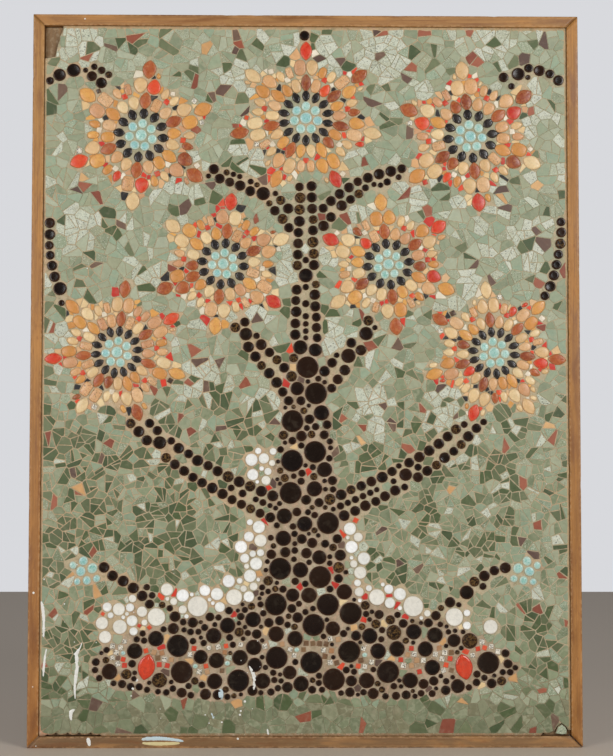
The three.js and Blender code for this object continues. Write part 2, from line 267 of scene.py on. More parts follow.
def varnished_batten():
    finish = Finish("batten_varnish", Specular_IOR_Level=0.35)
    grain, tone = finish.kept("grain"), finish.kept("tone")
    edge = finish.parts(finish.kept("wear"))["X"]
    figure = finish.clouds(finish.stretched(grain, 0.03, 1.0, 1.0), 9.0, 3.0, 1.2)
    streaks = finish.clouds(finish.stretched(grain, 0.01, 1.0, 1.0), 0.9, 3.0)
    patches = finish.clouds(finish.stretched(grain, 0.3, 1.0, 1.0), 30.0, 3.0, 0.6)
    colour = finish.shade(tone, finish.between(figure, 0.35, 0.65, 0.9, 1.1))
    colour = finish.shade(colour, finish.between(streaks, 0.25, 0.75, 0.8, 1.16))
    dark = finish.between(finish.clouds(finish.stretched(grain, 0.012, 1.0, 1.0), 2.6, 2.0), 0.56, 0.68)
    colour = finish.over(colour, paint(104, 62, 31), finish.times(dark, 0.5))
    colour = finish.over(colour, paint(194, 138, 76), finish.between(patches, 0.52, 0.74, 0.0, 0.5))
    colour = finish.over(colour, paint(108, 62, 28), finish.between(patches, 0.46, 0.3, 0.0, 0.6))
    blots = finish.clouds(finish.stretched(grain, 0.5, 1.0, 1.0), 8.0, 4.0, 0.7)
    colour = finish.over(colour, paint(122, 74, 36), finish.between(blots, 0.56, 0.7, 0.0, 0.4))
    scratches = finish.clouds(finish.stretched(grain, 0.06, 1.0, 1.0), 0.7, 1.0, 0.5)
    colour = finish.over(colour, paint(206, 164, 110), finish.between(scratches, 0.67, 0.73, 0.0, 0.3))
    chips = finish.times(edge, finish.between(finish.clouds(grain, 6.0, 4.0), 0.45, 0.6))
    colour = finish.over(colour, paint(190, 150, 106), finish.times(chips, 0.6))
    # Painted shade on the inner face beside the mosaic, with dirt in the mitre joints at the ends, laid on from the
    # second wear value
    inner_shade_and_mitre_dirt = finish.parts(finish.kept("wear"))["Y"]
    colour = finish.over(colour, paint(96, 60, 32), finish.times(inner_shade_and_mitre_dirt, 0.6))
    rough = finish.between(patches, 0.3, 0.7, 0.34, 0.58)
    return finish.finish(colour, rough, streaks, 0.12)


def rounded_section():
    """The batten's section as (depth, distance from its outer face, nearness to an arris), clockwise."""
    corners = [(0, 0, 0.5), (BATTEN_DEPTH, 0, BATTEN_CORNER), (BATTEN_DEPTH, BATTEN_WIDTH, BATTEN_CORNER),
               (0, BATTEN_WIDTH, 0.5)]
    middle = (BATTEN_DEPTH / 2, BATTEN_WIDTH / 2)
    section = []
    for number, (depth, across, radius) in enumerate(corners):
        centre = [c + math.copysign(radius, m - c) for c, m in zip((depth, across), middle)]
        first = math.pi + number * math.pi / 2
        for step in range(5):
            angle = first + step * math.pi / 8
            near = 1.0 if step in (1, 2, 3) else 0.5
            section.append((centre[0] + radius * math.cos(angle), centre[1] + radius * math.sin(angle), near))
        after = corners[(number + 1) % 4]
        for share in (0.25, 0.5, 0.75):
            section.append((depth + (after[0] - depth) * share, across + (after[1] - across) * share, 0.0))
    return section


def make_batten(name, turn, length, half_span, first_tone, last_tone, first_gap, last_gap, finish):
    draw = Draws(300 + turn)
    section = rounded_section()
    stations = int(length / 7)
    # Knocks on the front arrises: place along, across, width, depth
    knocks = [(draw.between(-0.49, 0.49) * length, draw.pick((0.0, BATTEN_WIDTH)), draw.between(3, 9),
               draw.between(0.3, 1.0)) for _ in range(11)]
    points, grain, tones, wear = [], [], [], []
    start = draw.between(0, 3000)
    for station in range(stations + 1):
        share = station / stations
        for depth, across, near in section:
            run = length - 2 * across - first_gap - last_gap
            along = (share - 0.5) * run + (first_gap - last_gap) / 2
            ripple = noise.noise(Vector((along / 60 + start, across / 9, depth / 9))) * 0.22
            dent = sum(deep * math.exp(-((along - at) / wide) ** 2 - ((across - side) ** 2 + (BATTEN_DEPTH - depth) ** 2) / 9)
                       for at, side, wide, deep in knocks)
            inward = 1 - (max(0.0, ripple) * 0.1 + dent) / 12
            z = half_span - BATTEN_WIDTH / 2 - (across - BATTEN_WIDTH / 2) * inward
            forward = BATTEN_DEPTH / 2 + (depth - BATTEN_DEPTH / 2) * (1 - dent / 20)
            x = along
            for _ in range(turn):
                x, z = z, -x
            points.append((x, forward, z))
            grain.append((along + start, across * 1.7, depth + turn * 70))
            blend = min(1.0, max(0.0, share + 0.12 * noise.noise(Vector((along / 90, 7.0 * turn, 0.5)))))
            first, last = paint(*first_tone), paint(*last_tone)
            tones.append([a + (b - a) * blend for a, b in zip(first, last)])
            # The second wear value carries painted shade on the inner face beside the mosaic, and a dark mitre joint at
            # each end
            inner = 1.0 if across > BATTEN_WIDTH - 0.6 and depth < BATTEN_DEPTH - 1.5 else 0.0
            ends = math.exp(-((0.5 - abs(share - 0.5)) * length / 4) ** 2) * 0.3
            wear.append((near, max(inner * 0.2, ends), 0.0))
    count = len(section)
    # The section runs clockwise seen along the batten, so its faces are turned to look outward
    faces = [tuple(reversed(face)) for face in walls(stations + 1, count)]
    faces += [tuple(range(count)), tuple(reversed(range(stations * count, (stations + 1) * count)))]
    piece = make_piece("batten_" + name, points, faces, finish, "batten_wood", "frame_" + name, smooth=True)
    for label, values in (("grain", grain), ("tone", tones), ("wear", wear)):
        keep(piece.data, label, values)
    piece.data.polygons[-1].use_smooth = piece.data.polygons[-2].use_smooth = False


def make_nails():
    """Nail heads punched a little below the varnish and stopped with dark putty."""
    finish = Finish("nail_putty", Specular_IOR_Level=0.3)
    place = finish.place()
    grit = finish.clouds(place, 0.6, 3.0)
    colour = finish.over(paint(58, 38, 24), paint(96, 66, 42), finish.between(grit, 0.4, 0.65))
    putty = finish.finish(colour, finish.between(grit, 0.3, 0.7, 0.55, 0.8), grit, 0.1)
    points, faces, sides = [], [], 12

    def head(centre, across, up, out, radius):
        start = len(points)
        for share, lift in ((1.0, -0.5), (1.0, 0.04), (0.7, -0.06)):
            for i in range(sides):
                angle = math.tau * i / sides
                points.append(tuple(c + radius * share * (math.cos(angle) * a + math.sin(angle) * u) + lift * o
                                    for c, a, u, o in zip(centre, across, up, out)))
        faces.extend(tuple(start + i for i in face) for face in walls(3, sides))
        faces.append(tuple(range(start + 2 * sides, start + 3 * sides)))

    # As x, depth, z. Each set of directions makes the head face outward.
    outward = {0: ((0, 1, 0), (-1, 0, 0), (0, 0, 1)), 1: ((0, 1, 0), (0, 0, 1), (1, 0, 0)),
               2: ((0, 1, 0), (1, 0, 0), (0, 0, -1)), 3: ((0, 1, 0), (0, 0, -1), (-1, 0, 0))}
    for turn, places in NAILS.items():
        across, up, out = outward[turn]
        span = 609.5 if turn in (0, 2) else 457.0
        for at in places:
            centre = [span * o for o in out]
            centre = [at if o == 0 and axis != 1 else c for axis, (c, o) in enumerate(zip(centre, out))]
            centre[1] = NAIL_DEPTH
            head(centre, across, up, out, NAIL_RADIUS)
    for x, z in PIN_HOLES[:2]:
        head((x, BATTEN_DEPTH, z), (1, 0, 0), (0, 0, 1), (0, 1, 0), 1.1)
    head((PIN_HOLES[2][0], BOARD_FRONT, PIN_HOLES[2][1]), (1, 0, 0), (0, 0, 1), (0, 1, 0), 1.6)
    make_piece("nail_heads", points, faces, putty, "batten_wood", smooth=False)


batten_finish = varnished_batten()
for batten, (turn, *sizes) in BATTENS.items():
    make_batten(batten, turn, *sizes, batten_finish)
make_nails()

# A dark fill in the open mitre at the bottom right, painted shade for the inside of the gap, seen from in front as a
# dark line
crack_finish = Finish("mitre_shade_fill", Roughness=0.9)
crack_grit = crack_finish.clouds(crack_finish.place(), 3.0, 3.0)
crack_shade_tone = crack_finish.over(paint(48, 30, 18), paint(104, 70, 42), crack_finish.between(crack_grit, 0.42, 0.66))
crack_finish.finish(crack_shade_tone, crack_finish.between(crack_grit, 0.3, 0.7, 0.85, 0.95), crack_grit, 0.1)
crack = [(438.6, -592.4), (440.2, -590.8), (456.6, -607.2), (455.0, -608.8)]
crack_points = [(x, depth, z) for depth in (0.6, 30.6) for x, z in reversed(crack)]
make_piece("mitre_shade_fill", crack_points, walls(2, 4) + [(3, 2, 1, 0), (4, 5, 6, 7)], crack_finish.material, "batten_wood")


# Mortar bed
# Sand and cement, spread 7 mm thick on the board and struck off between the tiles. It is paler in the
# ground and browner round the tree, broken off at two corners and along the bottom at the left.
MORTAR_BACK, MORTAR_FACE = 19.3, 26.2
BED_EDGE_GAP = 0.15
MESH_STEP = 5.5
BROKEN_EDGE = {"start": 9, "end": 104, "waves": 5, "depth": 6.4}
CHUNK_BAY = [(50, 0), (46, 5), (40, 3), (33, 5), (27, 8), (22.5, 15.5), (15, 20), (7.5, 14.5), (4.5, 9), (0, 9)]
GROUND_MORTAR, PINK_MORTAR, LOW_MORTAR = (176, 165, 136), (188, 163, 130), (132, 127, 100)
EDGE_MORTAR, FOOT_EDGE_MORTAR, CORNER_MORTAR = (194, 164, 122), (170, 130, 94), (186, 142, 112)
SAGE_MORTAR = (156, 156, 130)
EDGE_FILLET = 1.5
TREE_MORTAR, TREE_MORTAR_DARK = (178, 160, 136), (154, 134, 109)
MOUND_HALF_WIDTH, MOUND_TOP, MOUND_BOTTOM = 352.0, -388.0, -527.0
TRUNK_FOOT, TRUNK_HEAD = -400.0, 66.0
TRUNK_FOOT_HALF_WIDTH, TRUNK_HEAD_HALF_WIDTH = 76.0, 28.0


def mound_top(x):
    return MOUND_TOP + 40 * math.exp(-((x / 130) ** 2)) - 46 * (x / 350) ** 2


def in_mound(x, z, radius):
    if abs(x) > MOUND_HALF_WIDTH - radius:
        return False
    bottom = MOUND_BOTTOM + 5 * math.cos(x / 46)
    middle, half = (mound_top(x) + bottom) / 2, (mound_top(x) - bottom) / 2
    return abs(z - middle) < half * math.sqrt(max(0.0, 1 - (x / MOUND_HALF_WIDTH) ** 8)) - radius


def in_trunk(x, z, radius):
    rise = (z - TRUNK_FOOT) / (TRUNK_HEAD + 4 - TRUNK_FOOT)
    half = TRUNK_FOOT_HALF_WIDTH * (1 - rise) + TRUNK_HEAD_HALF_WIDTH * rise
    half += 26 * math.exp(-(z - TRUNK_FOOT) / 40)
    return TRUNK_FOOT - 20 < z < TRUNK_HEAD and abs(x) < half - radius


def broken_lines():
    """The three broken edges of the bed: lost corner, wavy foot and bay of the loose chunk."""
    right, top = HALF_WIDTH - BED_EDGE_GAP, HALF_HEIGHT - BED_EDGE_GAP
    foot = []
    for i in range(BROKEN_EDGE["waves"] * 4 + 1):
        t = i / (BROKEN_EDGE["waves"] * 4)
        bite = abs(math.sin(math.pi * BROKEN_EDGE["waves"] * t)) * 0.6 + 0.4
        lift = 0.0 if t in (0, 1) else BROKEN_EDGE["depth"] * (1.25 - bite)
        foot.append((-right + BROKEN_EDGE["start"] + (BROKEN_EDGE["end"] - BROKEN_EDGE["start"]) * t, -top + lift))
    lost = [(-right + u, top - v) for u, v in LOST_CORNER]
    bay = [(right - u, -top + v) for u, v in CHUNK_BAY]
    return lost, foot, bay


LOST_LINE, FOOT_LINE, BAY_LINE = broken_lines()
BED_CORNER = (HALF_WIDTH - BED_EDGE_GAP, HALF_HEIGHT - BED_EDGE_GAP)
BED_OUTLINE = [(-BED_CORNER[0], -BED_CORNER[1]), *FOOT_LINE, *BAY_LINE, BED_CORNER, *LOST_LINE]


def cut_finely(outline, step):
    fine = []
    for (ax, az), (bx, bz) in zip(outline, outline[1:] + outline[:1]):
        count = max(1, round(math.hypot(bx - ax, bz - az) / step))
        fine += [(ax + (bx - ax) * i / count, az + (bz - az) * i / count) for i in range(count)]
    return fine


def mortar_tone(x, z):
    """Colour of the struck mortar at a place in the bed."""
    flow = noise.noise(Vector((x / 55, z / 55, 3.0)))
    if x + z < 22 - HALF_WIDTH - HALF_HEIGHT:
        return CORNER_MORTAR
    if min(HALF_WIDTH - abs(x), HALF_HEIGHT - abs(z)) < 3.6:
        return FOOT_EDGE_MORTAR if z < 4 - HALF_HEIGHT else EDGE_MORTAR
    if in_mound(x, z, -4) or in_trunk(x, z, -4):
        brown = min(1.0, max(0.0, 0.4 + 1.2 * noise.noise(Vector((x / 24, z / 24, 8.0)))))
        return [a + (b - a) * brown for a, b in zip(TREE_MORTAR, TREE_MORTAR_DARK)]
    pink = min(1.0, max(0.0, 0.4 + 1.4 * flow - x / 900))
    low = min(1.0, max(0.0, (-440 - z) / 80))
    tone = [a + (b - a) * pink for a, b in zip(GROUND_MORTAR, PINK_MORTAR)]
    # Sage slurry was wiped over the upper ground
    sage = min(1.0, max(0.0, z / 300)) * min(1.0, max(0.0, 0.5 + 1.5 * noise.noise(Vector((x / 50, z / 50, 15.0)))))
    tone = [a + (b - a) * sage for a, b in zip(tone, SAGE_MORTAR)]
    return [a + (b - a) * low for a, b in zip(tone, LOW_MORTAR)]


def mortar():
    finish = Finish("struck_mortar", Specular_IOR_Level=0.25)
    place, tone = finish.place(), finish.kept("tone")
    sand = finish.clouds(place, 0.8, 4.0)
    stain = finish.clouds(place, 16.0, 4.0, 0.5)
    grit = finish.clouds(finish.stretched(place, 1.0, 1.0, 1.0), 2.3, 2.0)
    colour = finish.shade(tone, finish.between(sand, 0.3, 0.7, 0.88, 1.1))
    colour = finish.over(colour, paint(120, 102, 78), finish.between(stain, 0.56, 0.72, 0.0, 0.45))
    colour = finish.over(colour, paint(190, 178, 152), finish.between(stain, 0.44, 0.3, 0.0, 0.5))
    olive = finish.clouds(finish.stretched(place, 1.1, 1.0, 0.9), 7.0, 3.0, 0.4)
    colour = finish.over(colour, paint(138, 131, 102), finish.between(olive, 0.54, 0.68, 0.0, 0.5))
    colour = finish.over(colour, paint(194, 158, 132), finish.between(olive, 0.46, 0.33, 0.0, 0.5))
    colour = finish.over(colour, paint(212, 200, 176), finish.between(grit, 0.64, 0.72, 0.0, 0.6))
    rough = finish.between(stain, 0.3, 0.7, 0.78, 0.95)
    return finish.finish(colour, rough, sand, 0.35)


def make_mortar_bed():
    outline = cut_finely(BED_OUTLINE, MESH_STEP)
    draw = Draws(41)
    inner = []
    for i in range(1, int(2 * HALF_WIDTH / MESH_STEP)):
        for k in range(1, int(2 * HALF_HEIGHT / MESH_STEP)):
            x = -HALF_WIDTH + (i + draw.between(-0.25, 0.25)) * MESH_STEP
            z = -HALF_HEIGHT + (k + draw.between(-0.25, 0.25)) * MESH_STEP
            inner.append((x, z))
    rim = len(outline)
    flat, _, faces, origin, _, _ = geometry.delaunay_2d_cdt(
        [Vector(p) for p in outline + inner], [], [list(range(rim))], 1, 1e-4)
    found = {source: made for made, sources in enumerate(origin) for source in sources}
    edge = [found[i] for i in range(rim)]
    points = []
    # Only the points that a face uses are kept
    used = sorted({i for face in faces for i in face})
    place = {old: new for new, old in enumerate(used)}
    faces = [tuple(place[i] for i in face) for face in faces]
    edge = [place[i] for i in edge]
    for x, z in (flat[i] for i in used):
        waves = noise.noise(Vector((x / 30, z / 30, 0.0))) * 0.25 + noise.noise(Vector((x / 7, z / 7, 5.0))) * 0.18
        # Mortar squeezed up against the battens
        at_batten = abs(x) > BED_CORNER[0] - 0.01 or abs(z) > BED_CORNER[1] - 0.01
        fillet = EDGE_FILLET * (1 + 0.5 * noise.noise(Vector((x / 14, z / 14, 9.0)))) if at_batten else 0.0
        points.append((x, MORTAR_FACE + waves + fillet, z))
    # The broken sides fall back to the board in two steps
    for level, depth in enumerate((MORTAR_FACE - 3.2, MORTAR_BACK)):
        below = [len(points) + i for i in range(rim)]
        for x, z in outline:
            crumble = 0.5 * noise.noise(Vector((x / 4, z / 4, 2.0 + level)))
            points.append((x * (1 + crumble / 900 - 0.0003), depth, z * (1 + crumble / 1200 - 0.0003)))
        faces += [(below[i], below[(i + 1) % rim], edge[(i + 1) % rim], edge[i]) for i in range(rim)]
        edge = below
    faces.append(tuple(reversed(edge)))
    piece = make_piece("mortar_bed", points, faces, mortar_finish, "mosaic", "mosaic_bed", smooth=True)
    keep(piece.data, "tone", [paint(*mortar_tone(x, z)) for x, _, z in points])


mortar_finish = mortar()
make_mortar_bed()


# Rosettes
# Seven blossoms of pressed and fired tiles: a boss of crackled turquoise pebbles, a ring of small black
# leaves, then arms of peach, cream, amber and rust petals, each set by hand in the wet mortar.
ROSETTES = [  # x, z, reach, arms
    (0, 436, 126, 7), (276, 406, 124, 6), (-276, 406, 124, 6), (138, 190, 116, 6), (-138, 190, 116, 6),
    (314, 42, 117, 7), (-314, 42, 117, 7),
]
ROSETTE_LEAN = 0.12
PETAL_TONES = {
    "peach": [(208, 166, 120), (204, 158, 110), (212, 174, 130), (196, 148, 108)],
    "cream": [(216, 188, 140), (212, 180, 130), (220, 196, 150), (208, 174, 126)],
    "amber": [(206, 148, 74), (212, 158, 84), (196, 136, 70)],
    "rust": [(146, 68, 30), (132, 60, 30), (158, 78, 36)],
    "red": [(202, 52, 28), (188, 46, 32), (212, 70, 36)],
    "ivory": [(222, 214, 194), (214, 206, 184)],
    "black": [(26, 23, 22), (34, 30, 28)],
    "turquoise": [(160, 200, 192), (148, 194, 184), (170, 206, 198), (142, 190, 192)],
}
PETAL_BULGE = [(0, -1.6, 0), (0, 1.0, 0.6), (0.4, 1.7, 1.0), (1.3, 2.2, 0.5), (3.0, 2.55, 0.0)]
SQUARE_BULGE = [(0, -1.6, 0), (0, 1.2, 0.6), (0.35, 1.6, 1.0), (1.0, 1.75, 0.2)]
PEBBLE_BULGE = [(0, -1.6, 0), (0, 0.9, 0.8), (0.6, 1.8, 1.0), (1.7, 2.5, 0.6), (3.2, 2.75, 0.1)]

# Every tile claims its place with circles, filed by the patch of the panel that they touch
PATCH = 24.0
claims = {}


def patches(x, z, radius):
    for i in range(int((x - radius) // PATCH), int((x + radius) // PATCH) + 1):
        for k in range(int((z - radius) // PATCH), int((z + radius) // PATCH) + 1):
            yield i, k


def claim(x, z, radius):
    for patch in patches(x, z, radius):
        claims.setdefault(patch, []).append((x, z, radius))


def room(x, z, most):
    """The largest radius still free at a place, up to most."""
    free = min(most, HALF_WIDTH - abs(x), HALF_HEIGHT - abs(z))
    for patch in patches(x, z, most):
        for cx, cz, radius in claims.get(patch, ()):
            free = min(free, math.sqrt((x - cx) ** 2 + (z - cz) ** 2) - radius)
            if free <= 0:
                return 0
    return free


def claim_long(x, z, length, width, angle, leaf):
    slim = width / 2
    run = length / 2 - slim * (0.35 if leaf else 0.8)
    for t in (-1, -0.5, 0, 0.5, 1):
        radius = slim * (1 - (0.62 if leaf else 0.12) * t * t)
        claim(x + math.cos(angle) * run * t, z + math.sin(angle) * run * t, radius)


class Tiles:
    """Tiles of one kind, set one by one and then made into one mesh. Their points keep the tile's tone,
    its wear (nearness to the rim, strength of its blotches, strength of its specks) and a spot in a
    pattern of its own."""

    def __init__(self, seed):
        self.draw = Draws(seed)
        self.count = 0
        self.places, self.faces, self.tones, self.wear, self.spots, self.flat = [], [], [], [], [], []

    def press(self, outline, x, z, angle, bulge, crown, tone, blotches=0.0, specks=0.0, tilt=0.012, crease=0.0):
        """bulge lists rings as (inset, lift above the mortar, nearness to the rim). crown is the lift of
        the middle, or None for a flat top."""
        draw = self.draw
        outline = np.asarray(outline, float)
        inset, lift, near = np.asarray(bulge, float).T
        reach = np.hypot(*outline.T).mean()
        local = outline[None] * (1 - np.minimum(inset / reach, 0.94))[:, None, None]
        spread = outline[None] * (1 - np.minimum(np.append(-0.5, inset[1:]) / reach, 0.94))[:, None, None]
        lift = np.repeat(lift, len(outline))
        near = np.repeat(near, len(outline))
        if crease:
            on_rib = np.tile(np.abs(outline[:, 1]) < 0.05, len(inset)) & (near < 0.9)
            lift = lift - crease * on_rib
        local, spread = local.reshape(-1, 2), spread.reshape(-1, 2)
        faces = [tuple(self.count + i for i in face) for face in walls(len(inset), len(outline))]
        last = self.count + len(local) - len(outline)
        ring = range(last, last + len(outline))
        if crown is None:
            faces.append(tuple(ring))
        else:
            local, spread = np.vstack([local, (0, 0)]), np.vstack([spread, (0, 0)])
            lift, near = np.append(lift, crown - crease), np.append(near, 0.0)
            middle = last + len(outline)
            faces += [(a, b, middle) for a, b in zip(ring, [*ring[1:], ring[0]])]
        lean = np.array([draw.between(-tilt, tilt), draw.between(-tilt, tilt)])
        turn = np.array([[math.cos(angle), math.sin(angle)], [-math.sin(angle), math.cos(angle)]])
        on_panel, laid_flat = local @ turn + (x, z), spread @ turn + (x, z)
        depth = MORTAR_FACE + lift + local @ lean
        start = [draw.between(0, 4000), draw.between(0, 4000), draw.between(0, 4000)]
        self.places.append(np.column_stack([on_panel[:, 0], depth, on_panel[:, 1]]))
        self.spots.append(np.column_stack([local, lift]) + start)
        self.flat.append(laid_flat)
        fired = draw.between(0.94, 1.06)
        self.tones.append(np.tile([c * fired for c in paint(*tone)], (len(local), 1)))
        self.wear.append(np.column_stack([near, np.full(len(near), blotches), np.full(len(near), specks)]))
        self.faces += faces
        self.count += len(local)

    def make(self, name, material, slot, *nodes, smooth=True):
        piece = make_piece(name, np.vstack(self.places), self.faces, material, slot, *nodes, smooth=smooth)
        for label, values in (("tone", self.tones), ("wear", self.wear), ("spot", self.spots)):
            keep(piece.data, label, np.vstack(values))
        # The bake's map is the front view, with the sides of each tile laid out a little round it
        flat = np.vstack(self.flat)
        low, high = flat.min(0), flat.max(0)
        corner = np.zeros(len(piece.data.loops), np.int32)
        piece.data.loops.foreach_get("vertex_index", corner)
        fitted = 0.005 + 0.99 * (flat - low) / (high - low)
        piece.data.uv_layers.new(name="OFBake").uv.foreach_set("vector", fitted[corner].astype(np.float32).ravel())
        return piece


def petal_outline(shape, length, width, count=18):
    """Outlines run anticlockwise seen from the front, with their length along the first axis."""
    powers = {"leaf": (1.0, 1.6), "seed": (1.0, 1.15), "pillow": (0.8, 0.8), "brick": (0.42, 0.42), "pebble": (1, 1)}
    along, across = powers[shape]
    points = []
    for i in range(count):
        angle = math.tau * i / count
        u = math.copysign(abs(math.cos(angle)) ** along, math.cos(angle))
        v = math.copysign(abs(math.sin(angle)) ** across, math.sin(angle))
        if shape == "seed":
            v *= 1 - 0.24 * u
        points.append((u * length / 2, v * width / 2))
    return points


def square_outline(side):
    half, cut = side / 2, side * 0.06
    corners = [(1, -1), (1, 1), (-1, 1), (-1, -1)]
    outline = []
    for u, v in corners:
        first, second = ((half, v * (half - cut)), (u * (half - cut), v * half)) if u * v < 0 else (
            (u * (half - cut), v * half), (u * half, v * (half - cut)))
        outline += [(first[0] * abs(u), first[1]), second]
    middle = sorted(outline, key=lambda p: math.atan2(p[1], p[0]))
    return middle


def glaze(name, blotch, blotch_size, speck, speck_size, speck_cut, rim, rim_share, rough, relief, haze_share,
          level=0.4):
    """Fired glaze: the tile's own tone, clouded, with its blotches and specks, thin at the rim, and a
    haze of mortar that was never wiped off."""
    finish = Finish(name, Specular_IOR_Level=level)
    spot, tone, place = finish.kept("spot"), finish.kept("tone"), finish.place()
    wear = finish.parts(finish.kept("wear"))
    clouds = finish.clouds(spot, 7.0, 3.0, 0.4)
    colour = finish.shade(tone, finish.between(clouds, 0.3, 0.7, 0.92, 1.07))
    blotches = finish.between(finish.clouds(spot, blotch_size, 4.0, 0.8), 0.47, 0.6)
    colour = finish.over(colour, blotch, finish.times(blotches, wear["Y"]))
    specks = finish.between(finish.clouds(spot, speck_size, 2.0), speck_cut, speck_cut + 0.05)
    colour = finish.over(colour, speck, finish.times(specks, wear["Z"]))
    pits = finish.between(finish.clouds(spot, speck_size * 1.5, 2.0, 0.6), 0.41, 0.36)
    colour = finish.over(colour, finish.shade(tone, 0.4), finish.times(pits, wear["Z"]))
    colour = finish.over(colour, rim, finish.times(wear["X"], rim_share))
    haze = finish.between(finish.clouds(place, 11.0, 5.0, 0.5), 0.56, 0.74, 0.0, haze_share)
    colour = finish.over(colour, paint(172, 158, 132), haze)
    grain = finish.clouds(spot, 1.1, 3.0)
    dull = finish.between(haze, 0.0, 0.3, 0.0, 0.25)
    gloss = finish.between(clouds, 0.3, 0.7, rough * 0.8, rough * 1.25)
    return finish.finish(colour, finish.node("Math", {0: gloss, 1: dull}, operation="ADD").outputs[0], grain, relief)


petal_glaze = glaze("petal_glaze", paint(200, 136, 76), 5.0, paint(184, 104, 72), 1.3, 0.6,
                    paint(190, 146, 100), 0.3, 0.3, 0.05, 0.14)
pebble_glaze = glaze("turquoise_crackle", paint(112, 176, 164), 3.2, paint(206, 222, 208), 0.9, 0.56,
                     paint(202, 208, 190), 0.75, 0.16, 0.08, 0.1)
black_glaze = glaze("black_leaf_glaze", paint(70, 62, 58), 5.0, paint(120, 112, 100), 1.0, 0.68,
                    paint(70, 58, 48), 0.5, 0.22, 0.04, 0.06, 0.35)


def warm_tone(draw):
    share = draw.next()
    for limit, tone in ((0.26, "peach"), (0.68, "cream"), (0.87, "amber"), (0.93, "rust")):
        if share < limit:
            return tone
    return "red"


def press_petal(petals, shape, x, z, angle, length, width, tone):
    draw = petals.draw
    if shape == "pillow":
        shape = {"peach": draw.pick(("brick", "seed", "pillow")), "cream": draw.pick(("seed", "seed", "pillow")),
                 "amber": draw.pick(("pillow", "seed"))}.get(tone, "seed")
    if shape == "brick":
        length, width = length * 0.96, width * 0.86
    specks = {"brick": 1.0, "seed": 0.25}.get(shape, 0.35) if tone == "peach" else 0.15
    blotches = {"amber": 0.6, "rust": 0.25, "cream": 0.12}.get(tone, 0.15)
    facing = angle if draw.next() < 0.8 else angle + math.pi
    petals.press(petal_outline(shape, length, width), x, z, facing, PETAL_BULGE, 2.65, draw.pick(PETAL_TONES[tone]),
                 blotches, specks, 0.03, 0.4 if shape == "leaf" else 0.0)


def set_rosette(number, cx, cz, reach, arms):
    draw = Draws(11 + 7 * number)
    petals, calyx, boss = Tiles(400 + number), Tiles(420 + number), Tiles(440 + number)
    turn = math.pi / 2 + (ROSETTE_LEAN if cx > 0 else -ROSETTE_LEAN if cx < 0 else 0)
    pitch, k, wide = math.tau / arms, reach / 116, 6.6 / arms

    def at(radius, bearing):
        return cx + math.cos(bearing) * radius * k, cz + math.sin(bearing) * radius * k

    def petal(shape, radius, bearing, length, width, angle, tone):
        x, z = at(radius, bearing)
        claim_long(x, z, length * k, width * k, angle, shape == "leaf")
        press_petal(petals, shape, x, z, angle, length * k * 1.03, width * k * 1.1, tone)

    claim(cx, cz, 42 * k)
    for i in range(8):
        x, z = at(0 if i == 0 else 18.5, turn + (i - 1) * math.tau / 7)
        across = (19.5 if i == 0 else 15.6) * k
        outline = petal_outline("pebble", across * boss.draw.between(0.96, 1), across * boss.draw.between(0.9, 1))
        boss.press(outline, x, z, boss.draw.between(0, 3), PEBBLE_BULGE, 2.75,
                   boss.draw.pick(PETAL_TONES["turquoise"]), 0.7, 0.5, 0.05)
    for i in range(2 * arms):
        bearing = turn + pitch * i / 2
        calyx.press(petal_outline("leaf", 18.5 * k, 12.5 * k * wide), *at(34.8, bearing), bearing, PETAL_BULGE, 2.65,
                    calyx.draw.pick(PETAL_TONES["black"]), 0.4, 0.2, 0.03, 0.35)
    for arm in range(arms):
        a = turn + pitch * arm
        petal("leaf", 55, a, 27, 15 * wide, a, "amber" if arm % 3 == 1 else "rust")
        for side in (-1, 1):
            b = a + side * pitch * 0.33
            petal("pillow", 52, b, 21, 14 * wide, b, warm_tone(draw))
        for side in (-1, 1):
            b = a + side * 0.125 * wide
            petal("pillow", 79, b, 24, 17.5 * wide, b - side * 0.1, warm_tone(draw))
        petal("leaf", 105, a, 29, 18 * wide, a, ("red", "cream", "rust", "amber")[(arm + number) % 4])
        b = a + pitch / 2
        x, z = at(66, b)
        claim(x, z, 8.5 * k * 0.62)
        petals.press(square_outline(8.5 * k), x, z, b, SQUARE_BULGE, None,
                     petals.draw.pick(PETAL_TONES["red" if draw.next() < 0.6 else "ivory"]), 0.1, 0.2)
        for side in (-1, 1):
            b = a + side * 0.37 * wide
            petal("pillow", 75, b, 18, 11, a + side * 0.35, warm_tone(draw))
    petals.make(f"rosette_petals_{number + 1:02d}", petal_glaze, "mosaic", "mosaic_bed")
    calyx.make(f"rosette_black_leaves_{number + 1:02d}", black_glaze, "dark_glaze", "mosaic_bed")
    boss.make(f"rosette_boss_{number + 1:02d}", pebble_glaze, "mosaic", "mosaic_bed")


for number, rosette in enumerate(ROSETTES):
    set_rosette(number, *rosette)


# Discs of the mound, trunk and limbs
# Round tiles pressed in a mould, with a raised rim and a shallow dish, dipped in a near-black brown
# glaze that runs thin and brown at the rim and breaks to amber on some. The white ones are the same.
SHOULDER_DISCS = [(118, 13.5), (178, 17), (246, 15), (306, 12)]
DISC_TONES = [(23, 13, 6), (28, 16, 8), (20, 12, 8), (36, 20, 10), (26, 14, 8)]
WHITE_TONES = [(236, 237, 234), (229, 230, 225), (240, 241, 240), (224, 221, 210)]
MOTTLED_SHARE = 0.13

disc_glaze = glaze("dark_disc_glaze", paint(112, 84, 46), 3.4, paint(128, 106, 78), 0.8, 0.64,
                   paint(70, 40, 22), 0.7, 0.18, 0.05, 0.04, 0.2)
white_glaze = glaze("white_glaze", paint(202, 201, 192), 4.0, paint(34, 31, 30), 1.9, 0.53,
                    paint(200, 192, 172), 0.4, 0.28, 0.05, 0.08)
red_glaze = glaze("red_leaf_glaze", paint(176, 50, 30), 9.0, paint(232, 120, 70), 1.2, 0.66,
                  paint(176, 70, 44), 0.5, 0.16, 0.05, 0.08)


